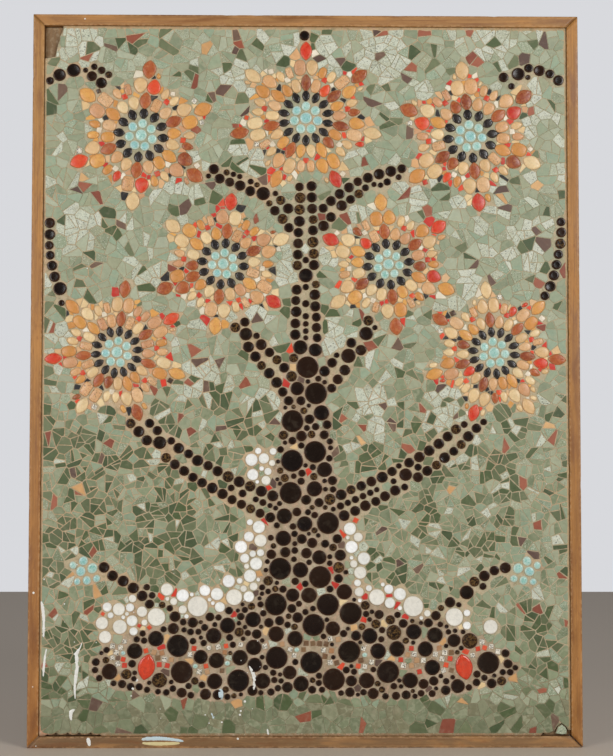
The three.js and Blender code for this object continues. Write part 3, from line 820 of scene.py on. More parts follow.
def round_outline(radius, draw):
    """A pressed disc is never quite round."""
    count = 36 if radius > 14 else 28 if radius > 9 else 20 if radius > 6 else 14
    oval, knob, first, second = draw.between(0, 0.014), draw.between(0, 0.01), draw.between(0, 6), draw.between(0, 6)
    outline = []
    for i in range(count):
        angle = math.tau * i / count
        r = radius * (0.985 + oval * math.cos(2 * angle + first) + knob * math.cos(3 * angle + second)) * 0.995
        outline.append((r * math.cos(angle), r * math.sin(angle)))
    return outline


def press_disc(discs, x, z, radius, tone, blotches, specks, rough_face=0.0):
    if radius > 9:
        dish = [(0, -1.6, 0), (0, 1.6, 0.7), (0.22, 2.3, 1), (0.8, 2.7, 1), (1.6, 2.8, 0.4), (2.8, 2.62, 0),
                (radius * 0.5, 2.3, 0)]
        middle = 2.15
    else:
        dish = [(0, -1.6, 0), (0, 1.7, 0.7), (0.3, 2.45, 1), (0.95, 2.75, 0.6), (max(1.4, radius * 0.42), 2.55, 0)]
        middle = 2.4
    discs.press(round_outline(radius, discs.draw), x, z, 0, dish, middle, tone, blotches, specks, 0.02)


def press_dark(discs, x, z, radius):
    mottled = discs.draw.next() < MOTTLED_SHARE
    press_disc(discs, x, z, radius, discs.draw.pick(DISC_TONES), discs.draw.between(0.5, 0.95) if mottled else 0.0,
               0.6 if mottled else 0.08)


whites, reds = [], []
for side in (-1, 1):
    for x, radius in SHOULDER_DISCS:
        whites.append((side * x, mound_top(x) + radius * 0.9, radius))
        claim(*whites[-1])
    reds.append((side * 262, -478, math.pi / 2 + side * 0.2))
    claim_long(*reds[-1][:2], 44, 29, reds[-1][2], True)


def nestled(x, z, radius, joint, wanted, heading):
    """Slides a disc from its place until it lies against its neighbours."""
    for _ in range(30):
        for turn in (0.0, 0.9, -0.9):
            u, v = x + math.cos(heading + turn) * 0.8, z + math.sin(heading + turn) * 0.8
            if wanted(u, v, radius) and room(u, v, radius + joint) >= radius + joint:
                x, z = u, v
                break
        else:
            break
    return x, z


def scatter(draw, tries, low, high, limit, joint, wanted, slide=False):
    """Discs dropped over a part of the picture, each as large as its place allows."""
    found = []
    for _ in range(tries):
        x, z = draw.between(-355, 355), draw.between(-532, TRUNK_HEAD)
        if len(found) >= limit:
            continue
        radius = room(x, z, high + joint) - joint
        if radius >= low and wanted(x, z, radius):
            if slide:
                radius = draw.between(low, radius)
                x, z = nestled(x, z, radius, joint, wanted, draw.between(0, math.tau))
            found.append((x, z, radius))
            claim(x, z, radius)
    return found


def in_tree(x, z, radius):
    return in_mound(x, z, radius) or in_trunk(x, z, radius)


body_draw = Draws(2024)
giants = scatter(body_draw, 700, 16.5, 18.5, 22, 3, in_tree)
bigs = scatter(body_draw, 2500, 10.5, 13, 46, 2, in_tree)

# Four points of each limb's centre line, then its half width at both ends
LEADER = ((0, 20), (0, 120), (0, 220), (0, 322), 28, 18)
TOP_TWIG = ((0, 560), (0, 570), (0, 580), (0, 590), 11, 11)
SIDE_LIMBS = [
    ((30, -225), (110, -190), (215, -150), (288, -62), 27, 19),
    ((16, -30), (50, 20), (82, 40), (112, 92), 23, 17),
    ((0, 225), (40, 300), (105, 342), (180, 345), 19, 15),
    ((338, 500), (365, 524), (400, 522), (436, 492), 17, 9),
    ((398, 124), (418, 160), (428, 205), (428, 262), 13, 8),
    ((210, -412), (250, -370), (285, -330), (335, -318), 17, 13),
]
LIMBS = [LEADER, TOP_TWIG] + [
    tuple((side * x, z) for x, z in limb[:4]) + limb[4:] for side in (1, -1) for limb in SIDE_LIMBS
]
LIMB_STEPS = 400
JOINT = 1.5


def limb_point(limb, t):
    u = 1 - t
    weights = (u * u * u, 3 * u * u * t, 3 * u * t * t, t * t * t)
    return [sum(w * limb[i][axis] for i, w in enumerate(weights)) for axis in (0, 1)]


def limb_at(limb, t):
    """Point on the centre line, the sideways direction there and the limb's half width."""
    x, z = limb_point(limb, t)
    ahead, behind = limb_point(limb, min(1, t + 0.01)), limb_point(limb, max(0, t - 0.01))
    along = (ahead[0] - behind[0], ahead[1] - behind[1])
    run = math.hypot(*along)
    return x, z, -along[1] / run, along[0] / run, limb[4] + (limb[5] - limb[4]) * t


def string_discs(limb, row, low, high, draw, joint):
    found = []
    radius = draw.between(low, high)
    for i in range(LIMB_STEPS + 1):
        x, z, side_x, side_z, half = limb_at(limb, i / LIMB_STEPS)
        off = row * (half - radius)
        place = (x + side_x * off, z + side_z * off)
        if room(*place, radius + joint) >= radius + joint:
            found.append((*place, radius))
            claim(*place, radius)
            radius = draw.between(low, high)
    return found


limb_draw = Draws(77)
strings = []
for limb in LIMBS:
    string = []
    for t in (0.18, 0.5, 0.82):
        x, z, _, _, half = limb_at(limb, t + limb_draw.between(-0.06, 0.06))
        radius = limb_draw.between(10.5, 12.5)
        if limb_draw.next() < 0.5 and radius < half and room(x, z, radius + 2) >= radius + 2:
            string.append((x, z, radius))
            claim(x, z, radius)
    for row in (1, -1):
        string += string_discs(limb, row, 7.4, 9.4, limb_draw, JOINT)
    strings.append(string)


def fits_long(x, z, length, width, angle, joint):
    """Whether a petal of this size has its place free, with a joint round it."""
    slim = width / 2
    run = length / 2 - slim * 0.8
    return all(
        room(x + math.cos(angle) * run * t, z + math.sin(angle) * run * t, slim * (1 - 0.12 * t * t) + joint)
        >= slim * (1 - 0.12 * t * t) + joint
        for t in (0, -1, 1, -0.5, 0.5)
    )


def in_blossom(x, z, rosette):
    """Whether a place lies inside the star of a rosette."""
    cx, cz, reach, arms = rosette
    turn, pitch = math.pi / 2 + (ROSETTE_LEAN if cx > 0 else -ROSETTE_LEAN if cx < 0 else 0), math.tau / arms
    radius = math.hypot(x - cx, z - cz) * 116 / reach
    if radius > 118:
        return False
    off_arm = abs((math.atan2(z - cz, x - cx) - turn + pitch / 2) % pitch - pitch / 2)
    return radius < 84 or off_arm * radius < 27 * (1 - (radius - 84) / 44)


# Smaller petals and little squares fill what is left of each rosette
figured = Tiles(699)
for number, rosette in enumerate(ROSETTES):
    cx, cz, reach, arms = rosette
    fill, k = Tiles(600 + number), reach / 116
    for size in (22, 19, 16, 13.5, 11, 9):
        for _ in range(360):
            bearing, radius = fill.draw.between(0, math.tau), fill.draw.between(40, 118) * k
            x, z = cx + math.cos(bearing) * radius, cz + math.sin(bearing) * radius
            if not in_blossom(x, z, rosette):
                continue
            angle, length = bearing + fill.draw.between(-0.6, 0.6), size * k
            width = length * fill.draw.between(0.55, 0.68)
            if size < 17 and fill.draw.next() < 0.24:
                side = fill.draw.between(7, 9)
                if room(x, z, side) >= side * 0.66:
                    claim(x, z, side * 0.62)
                    if fill.draw.next() < 0.4:
                        figured.press(square_outline(side), x, z, angle, SQUARE_BULGE, None, (222, 216, 200), 0.2, 1.0)
                    else:
                        tone = fill.draw.pick(PETAL_TONES[fill.draw.pick(("black", "black", "red", "ivory", "ivory"))])
                        fill.press(square_outline(side), x, z, angle, SQUARE_BULGE, None, tone, 0.1, 0.1)
            elif fits_long(x, z, length, width, angle, 1.3):
                claim_long(x, z, length, width, angle, False)
                press_petal(fill, "pillow", x, z, angle, length * 1.05, width * 1.08, warm_tone(fill.draw))
    fill.make(f"rosette_small_petals_{number + 1:02d}", petal_glaze, "mosaic", "mosaic_bed")
figured.make("rosette_figured_squares", white_glaze, "white_glaze", "mosaic_bed", smooth=False)

for limb, string in zip(LIMBS, strings):
    for row in (0, 0.55, -0.55, 1, -1):
        string += string_discs(limb, row, 4.2, 6.8, limb_draw, 1.6)

# Rows of little squares run through the mound before the small discs fill it
square_draw = Draws(55)
squares = []
for x in np.arange(-318, 319, 2.2):
    for row in (-2, -1, 0, 1, 2):
        z = -458 + 9 * math.cos(x / 60) + row * 9.6 + square_draw.between(-0.8, 0.8)
        share = 0.8 if abs(row) < 2 else 0.35
        if square_draw.next() < share and room(x, z, 8) >= 5.3 and in_mound(x, z, 5):
            squares.append((x, z, square_draw.between(7.4, 8.8), square_draw.between(-0.3, 0.3)))
            claim(x, z, squares[-1][2] * 0.6)

fill_draw = Draws(99)
fillers = scatter(fill_draw, 3000, 7.4, 9.4, 90, 1.3, in_tree, True)
fillers += scatter(fill_draw, 26000, 5.2, 6.8, 1200, 1.2, in_tree, True)
fillers += scatter(fill_draw, 22000, 3.4, 4.8, 900, 1.2, in_tree)

own_tiles = [("giant_dark_disc", "glazed_giant_disc", giants), ("dark_disc", "glazed_large_disc", bigs[:21])]
for node, piece_name, group in own_tiles:
    for i, (x, z, radius) in enumerate(group, 1):
        disc = Tiles(1000 + i + int(radius * 10))
        press_dark(disc, x, z, radius)
        disc.make(f"{piece_name}_{i:02d}", disc_glaze, "dark_glaze", f"{node}_{i:02d}")
for i, (x, z, radius) in enumerate(whites, 1):
    disc = Tiles(1500 + i)
    press_disc(disc, x, z, radius, disc.draw.pick(WHITE_TONES), 0.3, 0.0)
    disc.make(f"glazed_white_disc_{i:02d}", white_glaze, "white_glaze", f"white_disc_{i:02d}")
for i, (x, z, angle) in enumerate(reds, 1):
    leaf = Tiles(1600 + i)
    leaf.press(petal_outline("leaf", 43, 28, 36), x, z, angle, PETAL_BULGE + [(6.5, 2.75, 0)], 2.8,
               (206, 66, 38), 0.5, 0.4, 0.01, 0.35)
    leaf.make(f"glazed_red_leaf_{i:02d}", red_glaze, "red_glaze", f"red_leaf_tile_{i:02d}")

mound_discs, trunk_discs = Tiles(1700), Tiles(1701)
for x, z, radius in bigs[21:] + fillers:
    press_dark(mound_discs if in_mound(x, z, 0) else trunk_discs, x, z, radius)
mound_discs.make("mound_discs", disc_glaze, "dark_glaze", "mosaic_bed")
trunk_discs.make("trunk_discs", disc_glaze, "dark_glaze", "mosaic_bed")
for i, string in enumerate(strings, 1):
    discs = Tiles(1710 + i)
    for x, z, radius in string:
        press_dark(discs, x, z, radius)
    discs.make(f"limb_discs_{i:02d}", disc_glaze, "dark_glaze", "mosaic_bed")


# White bands, little squares and buds
# Small white discs run up the shoulders of the mound and both sides of the trunk, with chips of red among
# them. Brown, tan, ivory and figured squares lie in the mound, and turquoise pebbles end the low shoots.
WHITE_BANDS = {-1: (58, 338, -120), 1: (36, 270, -205)}  # width, reach along the shoulder, upper end
SQUARE_TONES = [(91, 68, 48), (108, 84, 58), (160, 116, 80), (176, 140, 104)]
BUDS = [(side * x, z, r) for side in (-1, 1)
        for x, z, r in ((352, -316, 9), (367, -304, 8), (356, -297, 7), (371, -321, 8.5), (384, -311, 6.5),
                        (345, -333, 6.5), (361, -336, 7.5), (377, -338, 6))]


def in_white_band(x, z, radius):
    width, reach, upper = WHITE_BANDS[-1 if x < 0 else 1]
    ragged = width * (0.75 + 0.7 * noise.noise(Vector((x / 30, z / 30, 12.0))))
    on_shoulder = 80 < abs(x) < reach and mound_top(x) - 2 < z < mound_top(x) + ragged
    by_trunk = -395 < z < upper and not in_trunk(x, z, -radius) and in_trunk(x, z, -radius - ragged * 0.62)
    return on_shoulder or by_trunk


accents, ivories, pale_discs, buds = Tiles(1800), Tiles(1801), Tiles(1802), Tiles(1803)
band_draw = Draws(63)
for low, high, tries in ((8, 10.5, 2500), (5.2, 7.8, 22000), (3.4, 5.1, 34000)):
    for x, z, radius in scatter(band_draw, tries, low, high, 400, 1.1, in_white_band):
        if radius < 5.6 and band_draw.next() < 0.3:
            accents.press(square_outline(radius * 1.6), x, z, band_draw.between(0, 3), SQUARE_BULGE, None,
                          accents.draw.pick(PETAL_TONES["red"]), 0.1, 0.1)
        else:
            press_disc(pale_discs, x, z, radius, pale_discs.draw.pick(WHITE_TONES), 0.25, 0.0)
for x, z, side, angle in squares:
    share = accents.draw.next()
    if share < 0.36:
        ivories.press(square_outline(side), x, z, angle, SQUARE_BULGE, None, (222, 216, 200), 0.2, 1.0)
    elif share < 0.42:
        buds.press(petal_outline("pebble", side * 1.1, side), x, z, angle, PEBBLE_BULGE, 2.75,
                   buds.draw.pick(PETAL_TONES["turquoise"]), 0.7, 0.5, 0.05)
    elif share < 0.84:
        accents.press(square_outline(side), x, z, angle, SQUARE_BULGE, None, accents.draw.pick(SQUARE_TONES), 0.1, 0.1)
    else:
        accents.press(square_outline(side), x, z, angle, SQUARE_BULGE, None, accents.draw.pick(PETAL_TONES["red"]))
for x, z, radius in BUDS:
    if room(x, z, radius + 0.8) >= radius * 0.8:
        radius = min(radius, room(x, z, radius + 0.8) - 0.6)
        claim(x, z, radius)
        buds.press(petal_outline("pebble", radius * 2, radius * 1.85), x, z, buds.draw.between(0, 3), PEBBLE_BULGE,
                   2.75, buds.draw.pick(PETAL_TONES["turquoise"]), 0.9, 0.5, 0.05)
accents.make("accent_squares", petal_glaze, "mosaic", "mosaic_bed", smooth=False)
ivories.make("figured_squares", white_glaze, "white_glaze", "mosaic_bed", smooth=False)
pale_discs.make("small_white_discs", white_glaze, "white_glaze", "mosaic_bed")
buds.make("turquoise_buds", pebble_glaze, "mosaic", "mosaic_bed")


# Ground of broken tiles
# Flat sage tiles smashed with a hammer and fitted together with a hair of mortar between the shards.
# Dark green, brick and brown shards are strewn in, pale crackled ones lie in star-shaped patches, and
# the shards are smaller and the greens darker in the lower part.
SHARD_TONES = {
    "upper": [(141, 153, 126), (136, 146, 119), (154, 160, 134), (147, 154, 128), (127, 136, 109), (139, 156, 131),
              (162, 169, 145), (147, 151, 122)],
    "lower": [(130, 140, 109), (120, 129, 98), (140, 148, 119), (112, 122, 92), (133, 148, 122), (152, 157, 130)],
    "foot": [(114, 121, 92), (107, 113, 84), (126, 128, 100), (117, 115, 87)],
    "pale": [(184, 190, 172), (176, 181, 161), (192, 196, 180)],
    "green": [(72, 86, 50), (79, 91, 57), (66, 80, 48), (88, 97, 65), (103, 111, 79)],
    "brick": [(140, 74, 50), (128, 66, 46), (150, 86, 62)],
    "maroon": [(96, 72, 60), (84, 62, 52), (106, 82, 66)],
    "amber": [(206, 164, 112), (196, 150, 98)],
    **{kind: PETAL_TONES[tone] for kind, tone in
       {"red": "red", "cream": "cream", "peach": "peach", "orange": "amber", "ivory": "ivory",
        "black": "black"}.items()},
}
SHARD_BULGE = [(0, -1.6, 0), (0, 0.35, 0.7), (0.32, 0.72, 1.0), (0.9, 0.78, 0.0)]
WREATHS = (272, -205, 58, 92)
CHIP_KINDS = ("red", "cream", "peach", "orange", "cream", "red", "ivory", "black")
TREE_CHIP_KINDS = ("red", "red", "cream", "lower", "maroon", "amber", "lower", "pale")
REGION_COLUMNS, REGION_ROWS = 3, 4

shard_glaze = glaze("shard_glaze", paint(158, 160, 132), 10.0, paint(208, 210, 192), 1.5, 0.58,
                    paint(176, 175, 148), 0.22, 0.42, 0.06, 0.2, 0.35)


def clip(outline, nx, nz, limit):
    """The part of an outline on the near side of a line."""
    kept = []
    for (ax, az), (bx, bz) in zip(outline, outline[1:] + outline[:1]):
        a, b = ax * nx + az * nz - limit, bx * nx + bz * nz - limit
        if a <= 0:
            kept.append((ax, az))
        if a < 0 < b or b < 0 < a:
            t = a / (a - b)
            kept.append((ax + (bx - ax) * t, az + (bz - az) * t))
    return kept


def area_centre(outline):
    area = cx = cz = 0.0
    for (ax, az), (bx, bz) in zip(outline, outline[1:] + outline[:1]):
        cross = ax * bz - bx * az
        area, cx, cz = area + cross, cx + (ax + bx) * cross, cz + (az + bz) * cross
    if abs(area) < 1e-9:
        return 0.0, *outline[0]
    return area / 2, cx / (3 * area), cz / (3 * area)


def shrunk(outline, by):
    result = outline
    for (ax, az), (bx, bz) in zip(outline, outline[1:] + outline[:1]):
        run = math.hypot(bx - ax, bz - az)
        if run > 1e-6:
            nx, nz = (bz - az) / run, (ax - bx) / run
            result = clip(result, nx, nz, ax * nx + az * nz - by)
        if len(result) < 3:
            return []
    return result


def holds(outline, x, z):
    inside = False
    for (ax, az), (bx, bz) in zip(outline, outline[1:] + outline[:1]):
        if (az > z) != (bz > z) and x < ax + (z - az) * (bx - ax) / (bz - az):
            inside = not inside
    return inside


def lowness(z):
    """0 in the upper part of the ground and 1 in the lower."""
    return min(1.0, max(0.0, (60 - z) / 160))


ground_draw = Draws(31)
sites = []
chips = Draws(35)
for rosette in ROSETTES:
    cx, cz, reach, _ = rosette
    for least in (4.2, 2.4, 1.6):
        for _ in range(1100):
            x, z = cx + chips.between(-reach, reach), cz + chips.between(-reach, reach)
            if in_blossom(x, z, rosette) and room(x, z, 6) >= least:
                sites.append((x, z, room(x, z, 6)))
                claim(*sites[-1])
# Chips of red and cream are pushed in between the discs
for _ in range(7000):
    x, z = chips.between(-345, 345), chips.between(-525, 50)
    least = 2.4 if in_white_band(x, z, 0) else 3.4
    if (least < 3 or in_tree(x, z, 4)) and room(x, z, 5) >= least:
        sites.append((x, z, room(x, z, 5)))
        claim(*sites[-1])
for tries, least_high, least_low in ((9000, 14, 10), (16000, 9, 7), (24000, 5.5, 5)):
    for _ in range(tries):
        x, z = ground_draw.between(-HALF_WIDTH, HALF_WIDTH), ground_draw.between(-HALF_HEIGHT, HALF_HEIGHT)
        low = lowness(z)
        radius = room(x, z, 17 - 4 * low)
        if radius >= least_high + (least_low - least_high) * low:
            sites.append((x, z, radius))
            claim(x, z, radius)


def plot_of(x, z, radius):
    """The plot of ground round a site, up to where its neighbours' begin."""
    reach = 26.0
    near = {c for patch in patches(x, z, 2 * reach) for c in claims.get(patch, ())}
    plot = [(-reach, -reach), (reach, -reach), (reach, reach), (-reach, reach)]
    for cx, cz, other in sorted(near, key=lambda c: ((c[0] - x) ** 2 + (c[1] - z) ** 2, c)):
        dx, dz = cx - x, cz - z
        gap = dx * dx + dz * dz
        if gap < 1e-6:
            continue
        plot = clip(plot, dx, dz, (gap + radius * radius - other * other) / 2)
        if len(plot) < 3:
            return []
    plot = [(x + u, z + v) for u, v in plot]
    for nx, nz, limit in ((1, 0, HALF_WIDTH - 2.6), (-1, 0, HALF_WIDTH - 2.6), (0, 1, HALF_HEIGHT - 2.8),
                          (0, -1, HALF_HEIGHT - 3.8), (-0.64, -0.77, 0.64 * HALF_WIDTH + 0.77 * HALF_HEIGHT - 9)):
        plot = clip(plot, nx, nz, limit)
    return plot if len(plot) > 2 else []


def smash(outline, most):
    """Breaks a piece across its longest line until no part is much larger than most."""
    area, cx, cz = area_centre(outline)
    if area < most * ground_draw.between(0.75, 1.6):
        return [outline]
    far = max(outline, key=lambda p: (p[0] - cx) ** 2 + (p[1] - cz) ** 2)
    angle = math.atan2(far[1] - cz, far[0] - cx) + math.pi / 2 + ground_draw.between(-0.9, 0.9)
    nx, nz = -math.sin(angle), math.cos(angle)
    limit = cx * nx + cz * nz + ground_draw.between(-0.22, 0.22) * math.sqrt(area)
    parts = []
    for side in (1, -1):
        half = clip(outline, side * nx, side * nz, side * limit)
        if len(half) > 2:
            parts += smash(half, most)
    return parts


def gap_to(x, z, a, b):
    dx, dz = b[0] - a[0], b[1] - a[1]
    t = max(0, min(1, ((x - a[0]) * dx + (z - a[1]) * dz) / (dx * dx + dz * dz)))
    return math.hypot(x - a[0] - dx * t, z - a[1] - dz * t)


def trimmed(shard):
    """A shard cut back where the bed has broken away."""
    _, cx, cz = area_centre(shard)
    if not holds(BED_OUTLINE, cx, cz):
        return []
    for line in (LOST_LINE, FOOT_LINE, BAY_LINE):
        (ax, az), (bx, bz) = min(zip(line, line[1:]), key=lambda s: gap_to(cx, cz, *s))
        if gap_to(cx, cz, (ax, az), (bx, bz)) < 30 and len(shard) > 2:
            run = math.hypot(bx - ax, bz - az)
            nx, nz = (bz - az) / run, (ax - bx) / run
            if cx * nx + cz * nz > ax * nx + az * nz:
                nx, nz = -nx, -nz
            shard = clip(shard, nx, nz, ax * nx + az * nz - 0.8)
    return shard if len(shard) > 2 else []


stars = []
for _ in range(4000):
    x, z = ground_draw.between(-400, 400), ground_draw.between(-330, 570)
    apart = all(math.hypot(x - star[0], z - star[1]) > 105 for star in stars)
    if len(stars) < 30 and z > -60 and apart and (room(x, z, 60) > -1 and abs(x) > 40 or z > 60):
        stars.append((x, z, ground_draw.between(30, 48), ground_draw.between(0, 6.28)))


def in_star(x, z):
    return any(
        math.hypot(x - sx, z - sz) < reach * (1 + 0.35 * math.cos(5 * math.atan2(z - sz, x - sx) + turn))
        for sx, sz, reach, turn in stars
    )


def shard_kind(x, z):
    low, share = lowness(z), ground_draw.next()
    wx, wz, inner, outer = WREATHS
    if any(in_blossom(x, z, rosette) for rosette in ROSETTES):
        return CHIP_KINDS[int(share * len(CHIP_KINDS))]
    if in_tree(x, z, 0) or in_white_band(x, z, 0):
        return TREE_CHIP_KINDS[int(share * len(TREE_CHIP_KINDS))]
    if inner < math.hypot(abs(x) - wx, z - wz) < outer and share < 0.75:
        return "green"
    if share < 0.055 - 0.02 * low:
        return "brick" if ground_draw.next() < 0.45 else "maroon"
    if share < 0.06 - 0.015 * low:
        return "amber"
    drift = noise.noise(Vector((x / 85 + z / 140, z / 85, 21.0))) + (0.16 if x < -60 else -0.1)
    if share < 0.15 + (0.52 * low if drift > 0.16 and z > -540 else 0.0):
        return "green"
    if in_star(x, z) or share > 0.94 and z > -535:
        return "pale"
    return "foot" if z < -540 else "lower" if ground_draw.next() < low else "upper"


def chipped(outline, draw):
    """Long edges of a shard bend a little where the break ran."""
    bent = []
    for (ax, az), (bx, bz) in zip(outline, outline[1:] + outline[:1]):
        bent.append((ax, az))
        run = math.hypot(bx - ax, bz - az)
        if run > 5:
            t, off = draw.between(0.3, 0.7), draw.between(-0.035, 0.045) * min(run, 12)
            bent.append((ax + (bx - ax) * t + (bz - az) / run * off, az + (bz - az) * t - (bx - ax) / run * off))
        elif run < 0.6:
            bent.pop()
    return bent


regions = [Tiles(1900 + i) for i in range(REGION_COLUMNS * REGION_ROWS)]
for site in sites:
    plot = plot_of(*site)
    small = site[2] < 5.2
    if not plot or area_centre(plot)[0] < (9 if small else 18):
        continue
    low = lowness(area_centre(plot)[2])
    for shard in smash(plot, 420 if area_centre(plot)[2] < -535 else 330 - 110 * low):
        shard = trimmed(shard)
        foot = shard and area_centre(shard)[2] < -538
        shard = shrunk(shard, 0.45 if small or foot else 0.56 + 0.16 * low) if shard else []
        if not shard or area_centre(shard)[0] < (5 if small else 9):
            continue
        _, cx, cz = area_centre(shard)
        kind = shard_kind(cx, cz)
        column = min(REGION_COLUMNS - 1, int((cx + HALF_WIDTH) / (2 * HALF_WIDTH) * REGION_COLUMNS))
        row = min(REGION_ROWS - 1, int((cz + HALF_HEIGHT) / (2 * HALF_HEIGHT) * REGION_ROWS))
        region = regions[row * REGION_COLUMNS + column]
        outline = [(x - cx, z - cz) for x, z in chipped(shard, region.draw)]
        if len(outline) < 3:
            continue
        rise = region.draw.between(-0.15, 0.2)
        bulge = [(inset, lift + (rise if lift > 0 else 0), near) for inset, lift, near in SHARD_BULGE]
        specks = 1.0 if kind == "pale" else 0.6 if region.draw.next() < 0.22 and kind in ("upper", "lower") else 0.0
        region.press(outline, cx, cz, 0, bulge, None, region.draw.pick(SHARD_TONES[kind]),
                     region.draw.between(0.1, 0.6) if kind in ("upper", "lower", "foot", "pale") else 0.0, specks, 0.012)
for i, region in enumerate(regions, 1):
    region.make(f"ground_shards_{i:02d}", shard_glaze, "mosaic", "mosaic_bed", smooth=False)


# Loose corner chunk
# A lump of mortar with one pale speckled tile still on it, broken out of the bottom right corner and
# left lying in its place.
CHUNK = [(25.3, 3.6), (14, 1.6), (6.8, 3), (6.6, 9), (9, 13.6), (15, 18.4), (21.6, 14.2)]
chunk_outline = [(HALF_WIDTH - u, v - HALF_HEIGHT) for u, v in CHUNK]
_, chunk_x, chunk_z = area_centre(chunk_outline)
chunk_local = [(x - chunk_x, z - chunk_z) for x, z in chunk_outline]
lump, chunk_tile = Tiles(2000), Tiles(2001)
lump.press(cut_finely(chunk_local, 2.0), chunk_x, chunk_z, 0, [(0, -6.9, 0), (-0.3, -4.5, 0), (0, -1.2, 0), (0.8, 0, 0)],
           0.1, (158, 142, 112), tilt=0.0)
lump.make("loose_chunk_mortar", mortar_finish, "mosaic", "loose_corner_chunk")
chunk_tile.press([(u * 0.93, v * 0.93) for u, v in chipped(chunk_local, chunk_tile.draw)], chunk_x, chunk_z, 0,
                 SHARD_BULGE, None, (158, 170, 144), 0.5, 1.0, 0.0)
chunk_tile.make("loose_chunk_tile", shard_glaze, "mosaic", "loose_corner_chunk", smooth=False)


# Dripped paint
# White and pale blue house paint that fell on the hung panel and ran: thin raised runs and specks on the
# lower left of the picture, and a smear on the bottom batten.
RUNS = [  # points of the run as x, z, width
    [(-436, -370, 3), (-435, -374, 6), (-432.5, -386, 6), (-431.3, -402, 5), (-431.4, -418, 5), (-431.4, -429, 3)],
    [(-426.4, -448, 2), (-428.8, -460, 3.6), (-430.9, -481, 4.6), (-431.4, -494, 2.4)],
    [(-368, -438, 1.8), (-371, -446, 3), (-378, -456.6, 7.4), (-377, -466, 7), (-376, -478, 6.4), (-378, -496, 6),
     (-379.7, -511.6, 4.4), (-378.6, -530, 2)],
    [(-379.4, -547, 3.4), (-385.4, -551, 6.4), (-386, -557.4, 5.6), (-384.7, -565, 3)],
    [(-92.9, -476, 2), (-86.6, -487.5, 6), (-83.4, -498, 6.2), (-84.4, -508, 4.6), (-85.2, -515, 2.4)],
    [(-62.7, -579, 3), (-61.5, -586, 3.6), (-60.5, -589.5, 3)],
    [(-357, -592.5, 7), (-355.7, -598, 8), (-353.8, -606, 5.5)],
]
BLUE_RUNS = [
    [(-140.1, -513.5, 6), (-139.6, -518, 9), (-139, -524, 8), (-138.4, -531, 4.5)],
    [(-155.2, -552, 5), (-153.1, -557, 7), (-151.1, -562, 4)],
    [(-269, -595.5, 4), (-262, -594.5, 6.5), (-240, -594, 7), (-222, -595, 6), (-207, -597, 5), (-200, -598.5, 3)],
]
CREAM_RUN = [(-268, -601, 3), (-260, -602, 6), (-238, -602.5, 7), (-218, -602, 6), (-206, -601.5, 4)]
SPECKS = [  # x, z, radius
    (-431.3, -334, 1.8), (-397.5, -374.5, 1.4), (-380.5, -437, 1.2), (-377.5, -310, 1.4), (-278, -499.5, 2.6),
    (-284, -513, 2.2), (-287, -525, 1.4), (-344.8, -437.6, 1.3), (-137.6, -568, 1.6), (-99.7, -534.4, 2.4),
    (-106.4, -549.7, 1.8), (-107.7, -556, 2), (-448, -356, 2.4), (-448, -509.6, 1.2), (-441.7, -606, 1.2),
    (-111, -594.4, 2.2), (-370.8, 601.8, 1.6),
]


def paint_finish(name, tone):
    finish = Finish(name, Specular_IOR_Level=0.4)
    place = finish.place()
    dirt = finish.between(finish.clouds(place, 6.0, 3.0), 0.5, 0.75, 0.0, 0.35)
    colour = finish.over(paint(*tone), paint(186, 178, 160), dirt)
    return finish.finish(colour, finish.between(dirt, 0.0, 0.35, 0.35, 0.55), finish.clouds(place, 1.6), 0.1)


proud = [(x, z, r) for x, z, r in giants + bigs + fillers + whites + [d for string in strings for d in string]]


def surface_depth(x, z):
    """How far forward the panel's surface stands at a place."""
    if abs(z) > HALF_HEIGHT or abs(x) > HALF_WIDTH:
        return BATTEN_DEPTH - 0.05
    on_disc = any((x - cx) ** 2 + (z - cz) ** 2 < radius * radius for cx, cz, radius in proud)
    return 28.85 if on_disc else 26.95


class Paint:
    """Runs and specks of one paint, gathered into one mesh."""

    def __init__(self, seed):
        self.draw = Draws(seed)
        self.points, self.faces = [], []

    def run(self, stops, thick=0.5):
        stations = []
        for (ax, az, aw), (bx, bz, bw) in zip(stops, stops[1:]):
            steps = max(2, round(math.hypot(bx - ax, bz - az) / 2))
            for i in range(steps):
                t = i / steps
                stations.append((ax + (bx - ax) * t, az + (bz - az) * t, (aw + (bw - aw) * t)))
        stations.append(stops[-1])
        start, last = len(self.points), len(stations) - 1
        for i, (x, z, width) in enumerate(stations):
            ahead, behind = stations[min(last, i + 1)], stations[max(0, i - 1)]
            dx, dz = ahead[0] - behind[0], ahead[1] - behind[1]
            length = math.hypot(dx, dz)
            half = width / 2 * (0.25 if i in (0, last) else 1) * self.draw.between(0.86, 1.1)
            for across, lift in ((-1, -0.4), (-0.7, 0.45), (0, 1.0), (0.7, 0.45), (1, -0.4)):
                px, pz = x + dz / length * half * across, z - dx / length * half * across
                self.points.append((px, surface_depth(x, z) + lift * thick * (0.3 if i in (0, last) else 1), pz))
        for i in range(last):
            for k in range(4):
                a = start + i * 5 + k
                self.faces.append((a, a + 5, a + 6, a + 1))

    def speck(self, x, z, radius):
        start, sides = len(self.points), 7
        depth = surface_depth(x, z)
        for level, (share, lift) in enumerate(((1.0, -0.2), (0.7, 0.22))):
            for i in range(sides):
                angle = math.tau * i / sides
                wide = radius * share * self.draw.between(0.85, 1.15)
                self.points.append((x + wide * math.cos(angle), depth + lift, z + wide * math.sin(angle)))
        self.faces += [tuple(start + i for i in face) for face in walls(2, sides)]
        self.faces.append(tuple(range(start + sides, start + 2 * sides)))


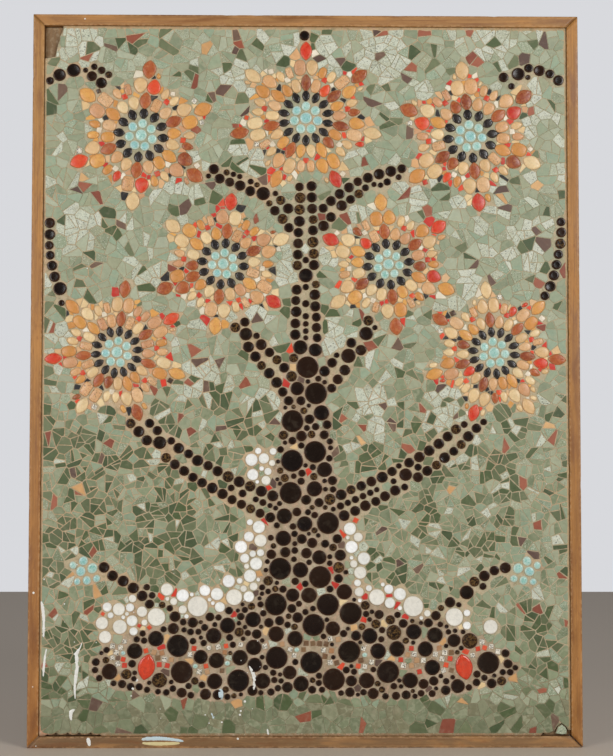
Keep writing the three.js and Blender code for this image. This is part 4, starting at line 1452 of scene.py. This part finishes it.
white_paint, blue_paint = Paint(71), Paint(72)
for stops in RUNS:
    white_paint.run(stops)
for _ in range(30):
    low_left = white_paint.draw.next() < 0.6
    x = white_paint.draw.between(-436, -60 if low_left else 430)
    z = white_paint.draw.between(-585, -300 if low_left else 560)
    white_paint.speck(x, z, white_paint.draw.between(0.6, 1.3))
for x, z, radius in SPECKS:
    white_paint.speck(x, z, radius)
for stops in BLUE_RUNS:
    blue_paint.run(stops, 0.35)
cream_paint = Paint(73)
cream_paint.run(CREAM_RUN, 0.3)
make_piece("cream_paint_run", cream_paint.points, cream_paint.faces, paint_finish("cream_house_paint", (206, 192, 142)),
           "white_glaze", smooth=True)
make_piece("white_paint_runs", white_paint.points, white_paint.faces, paint_finish("white_house_paint", (224, 224, 218)),
           "white_glaze", smooth=True)
make_piece("blue_paint_runs", blue_paint.points, blue_paint.faces, paint_finish("blue_house_paint", (186, 204, 210)),
           "white_glaze", smooth=True)


# Floor and light
# A plain pale floor under a pale, even backdrop, lit by two large soft lamps in front of the panel.
floor_mesh = bpy.data.meshes.new("floor")
floor_mesh.from_pydata([(-9, -9, -0.6095), (9, -9, -0.6095), (9, 4.87, -0.6095), (-9, 4.87, -0.6095)], [], [(0, 1, 2, 3)])
floor_finish = Finish("plain_floor", Roughness=0.6)
floor_finish.shader.inputs["Base Color"].default_value = (*paint(222, 207, 189), 1.0)
floor_mesh.materials.append(floor_finish.material)
floor = bpy.data.objects.new("floor", floor_mesh)
scene.collection.objects.link(floor)
floor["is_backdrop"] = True

world = bpy.data.worlds.new("studio")
scene.world = world
world.use_nodes = True
sky = world.node_tree.nodes["Background"]
sky.inputs["Color"].default_value = (*paint(216, 217, 221), 1.0)
# The room in front of the panel is dimmer than the backdrop behind it
seen = world.node_tree.nodes.new("ShaderNodeLightPath").outputs["Is Camera Ray"]
strength = world.node_tree.nodes.new("ShaderNodeMapRange")
strength.inputs["To Min"].default_value, strength.inputs["To Max"].default_value = 0.34, 1.0
world.node_tree.links.new(seen, strength.inputs["Value"])
world.node_tree.links.new(strength.outputs[0], sky.inputs["Strength"])

LAMPS = [("key", (2.3, -4.0, 1.1), 1.5, 103.0), ("fill", (-2.4, -3.9, 0.6), 1.8, 84.0)]
for name, place, size, watts in LAMPS:
    light = bpy.data.lights.new(name, "AREA")
    light.size, light.energy = size, watts
    lamp = bpy.data.objects.new(name, light)
    lamp.location = place
    lamp.rotation_euler = (Vector((0, 0, 0)) - lamp.location).to_track_quat("-Z", "Y").to_euler()
    scene.collection.objects.link(lamp)

scene.view_settings.view_transform = "Standard"

low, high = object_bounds()
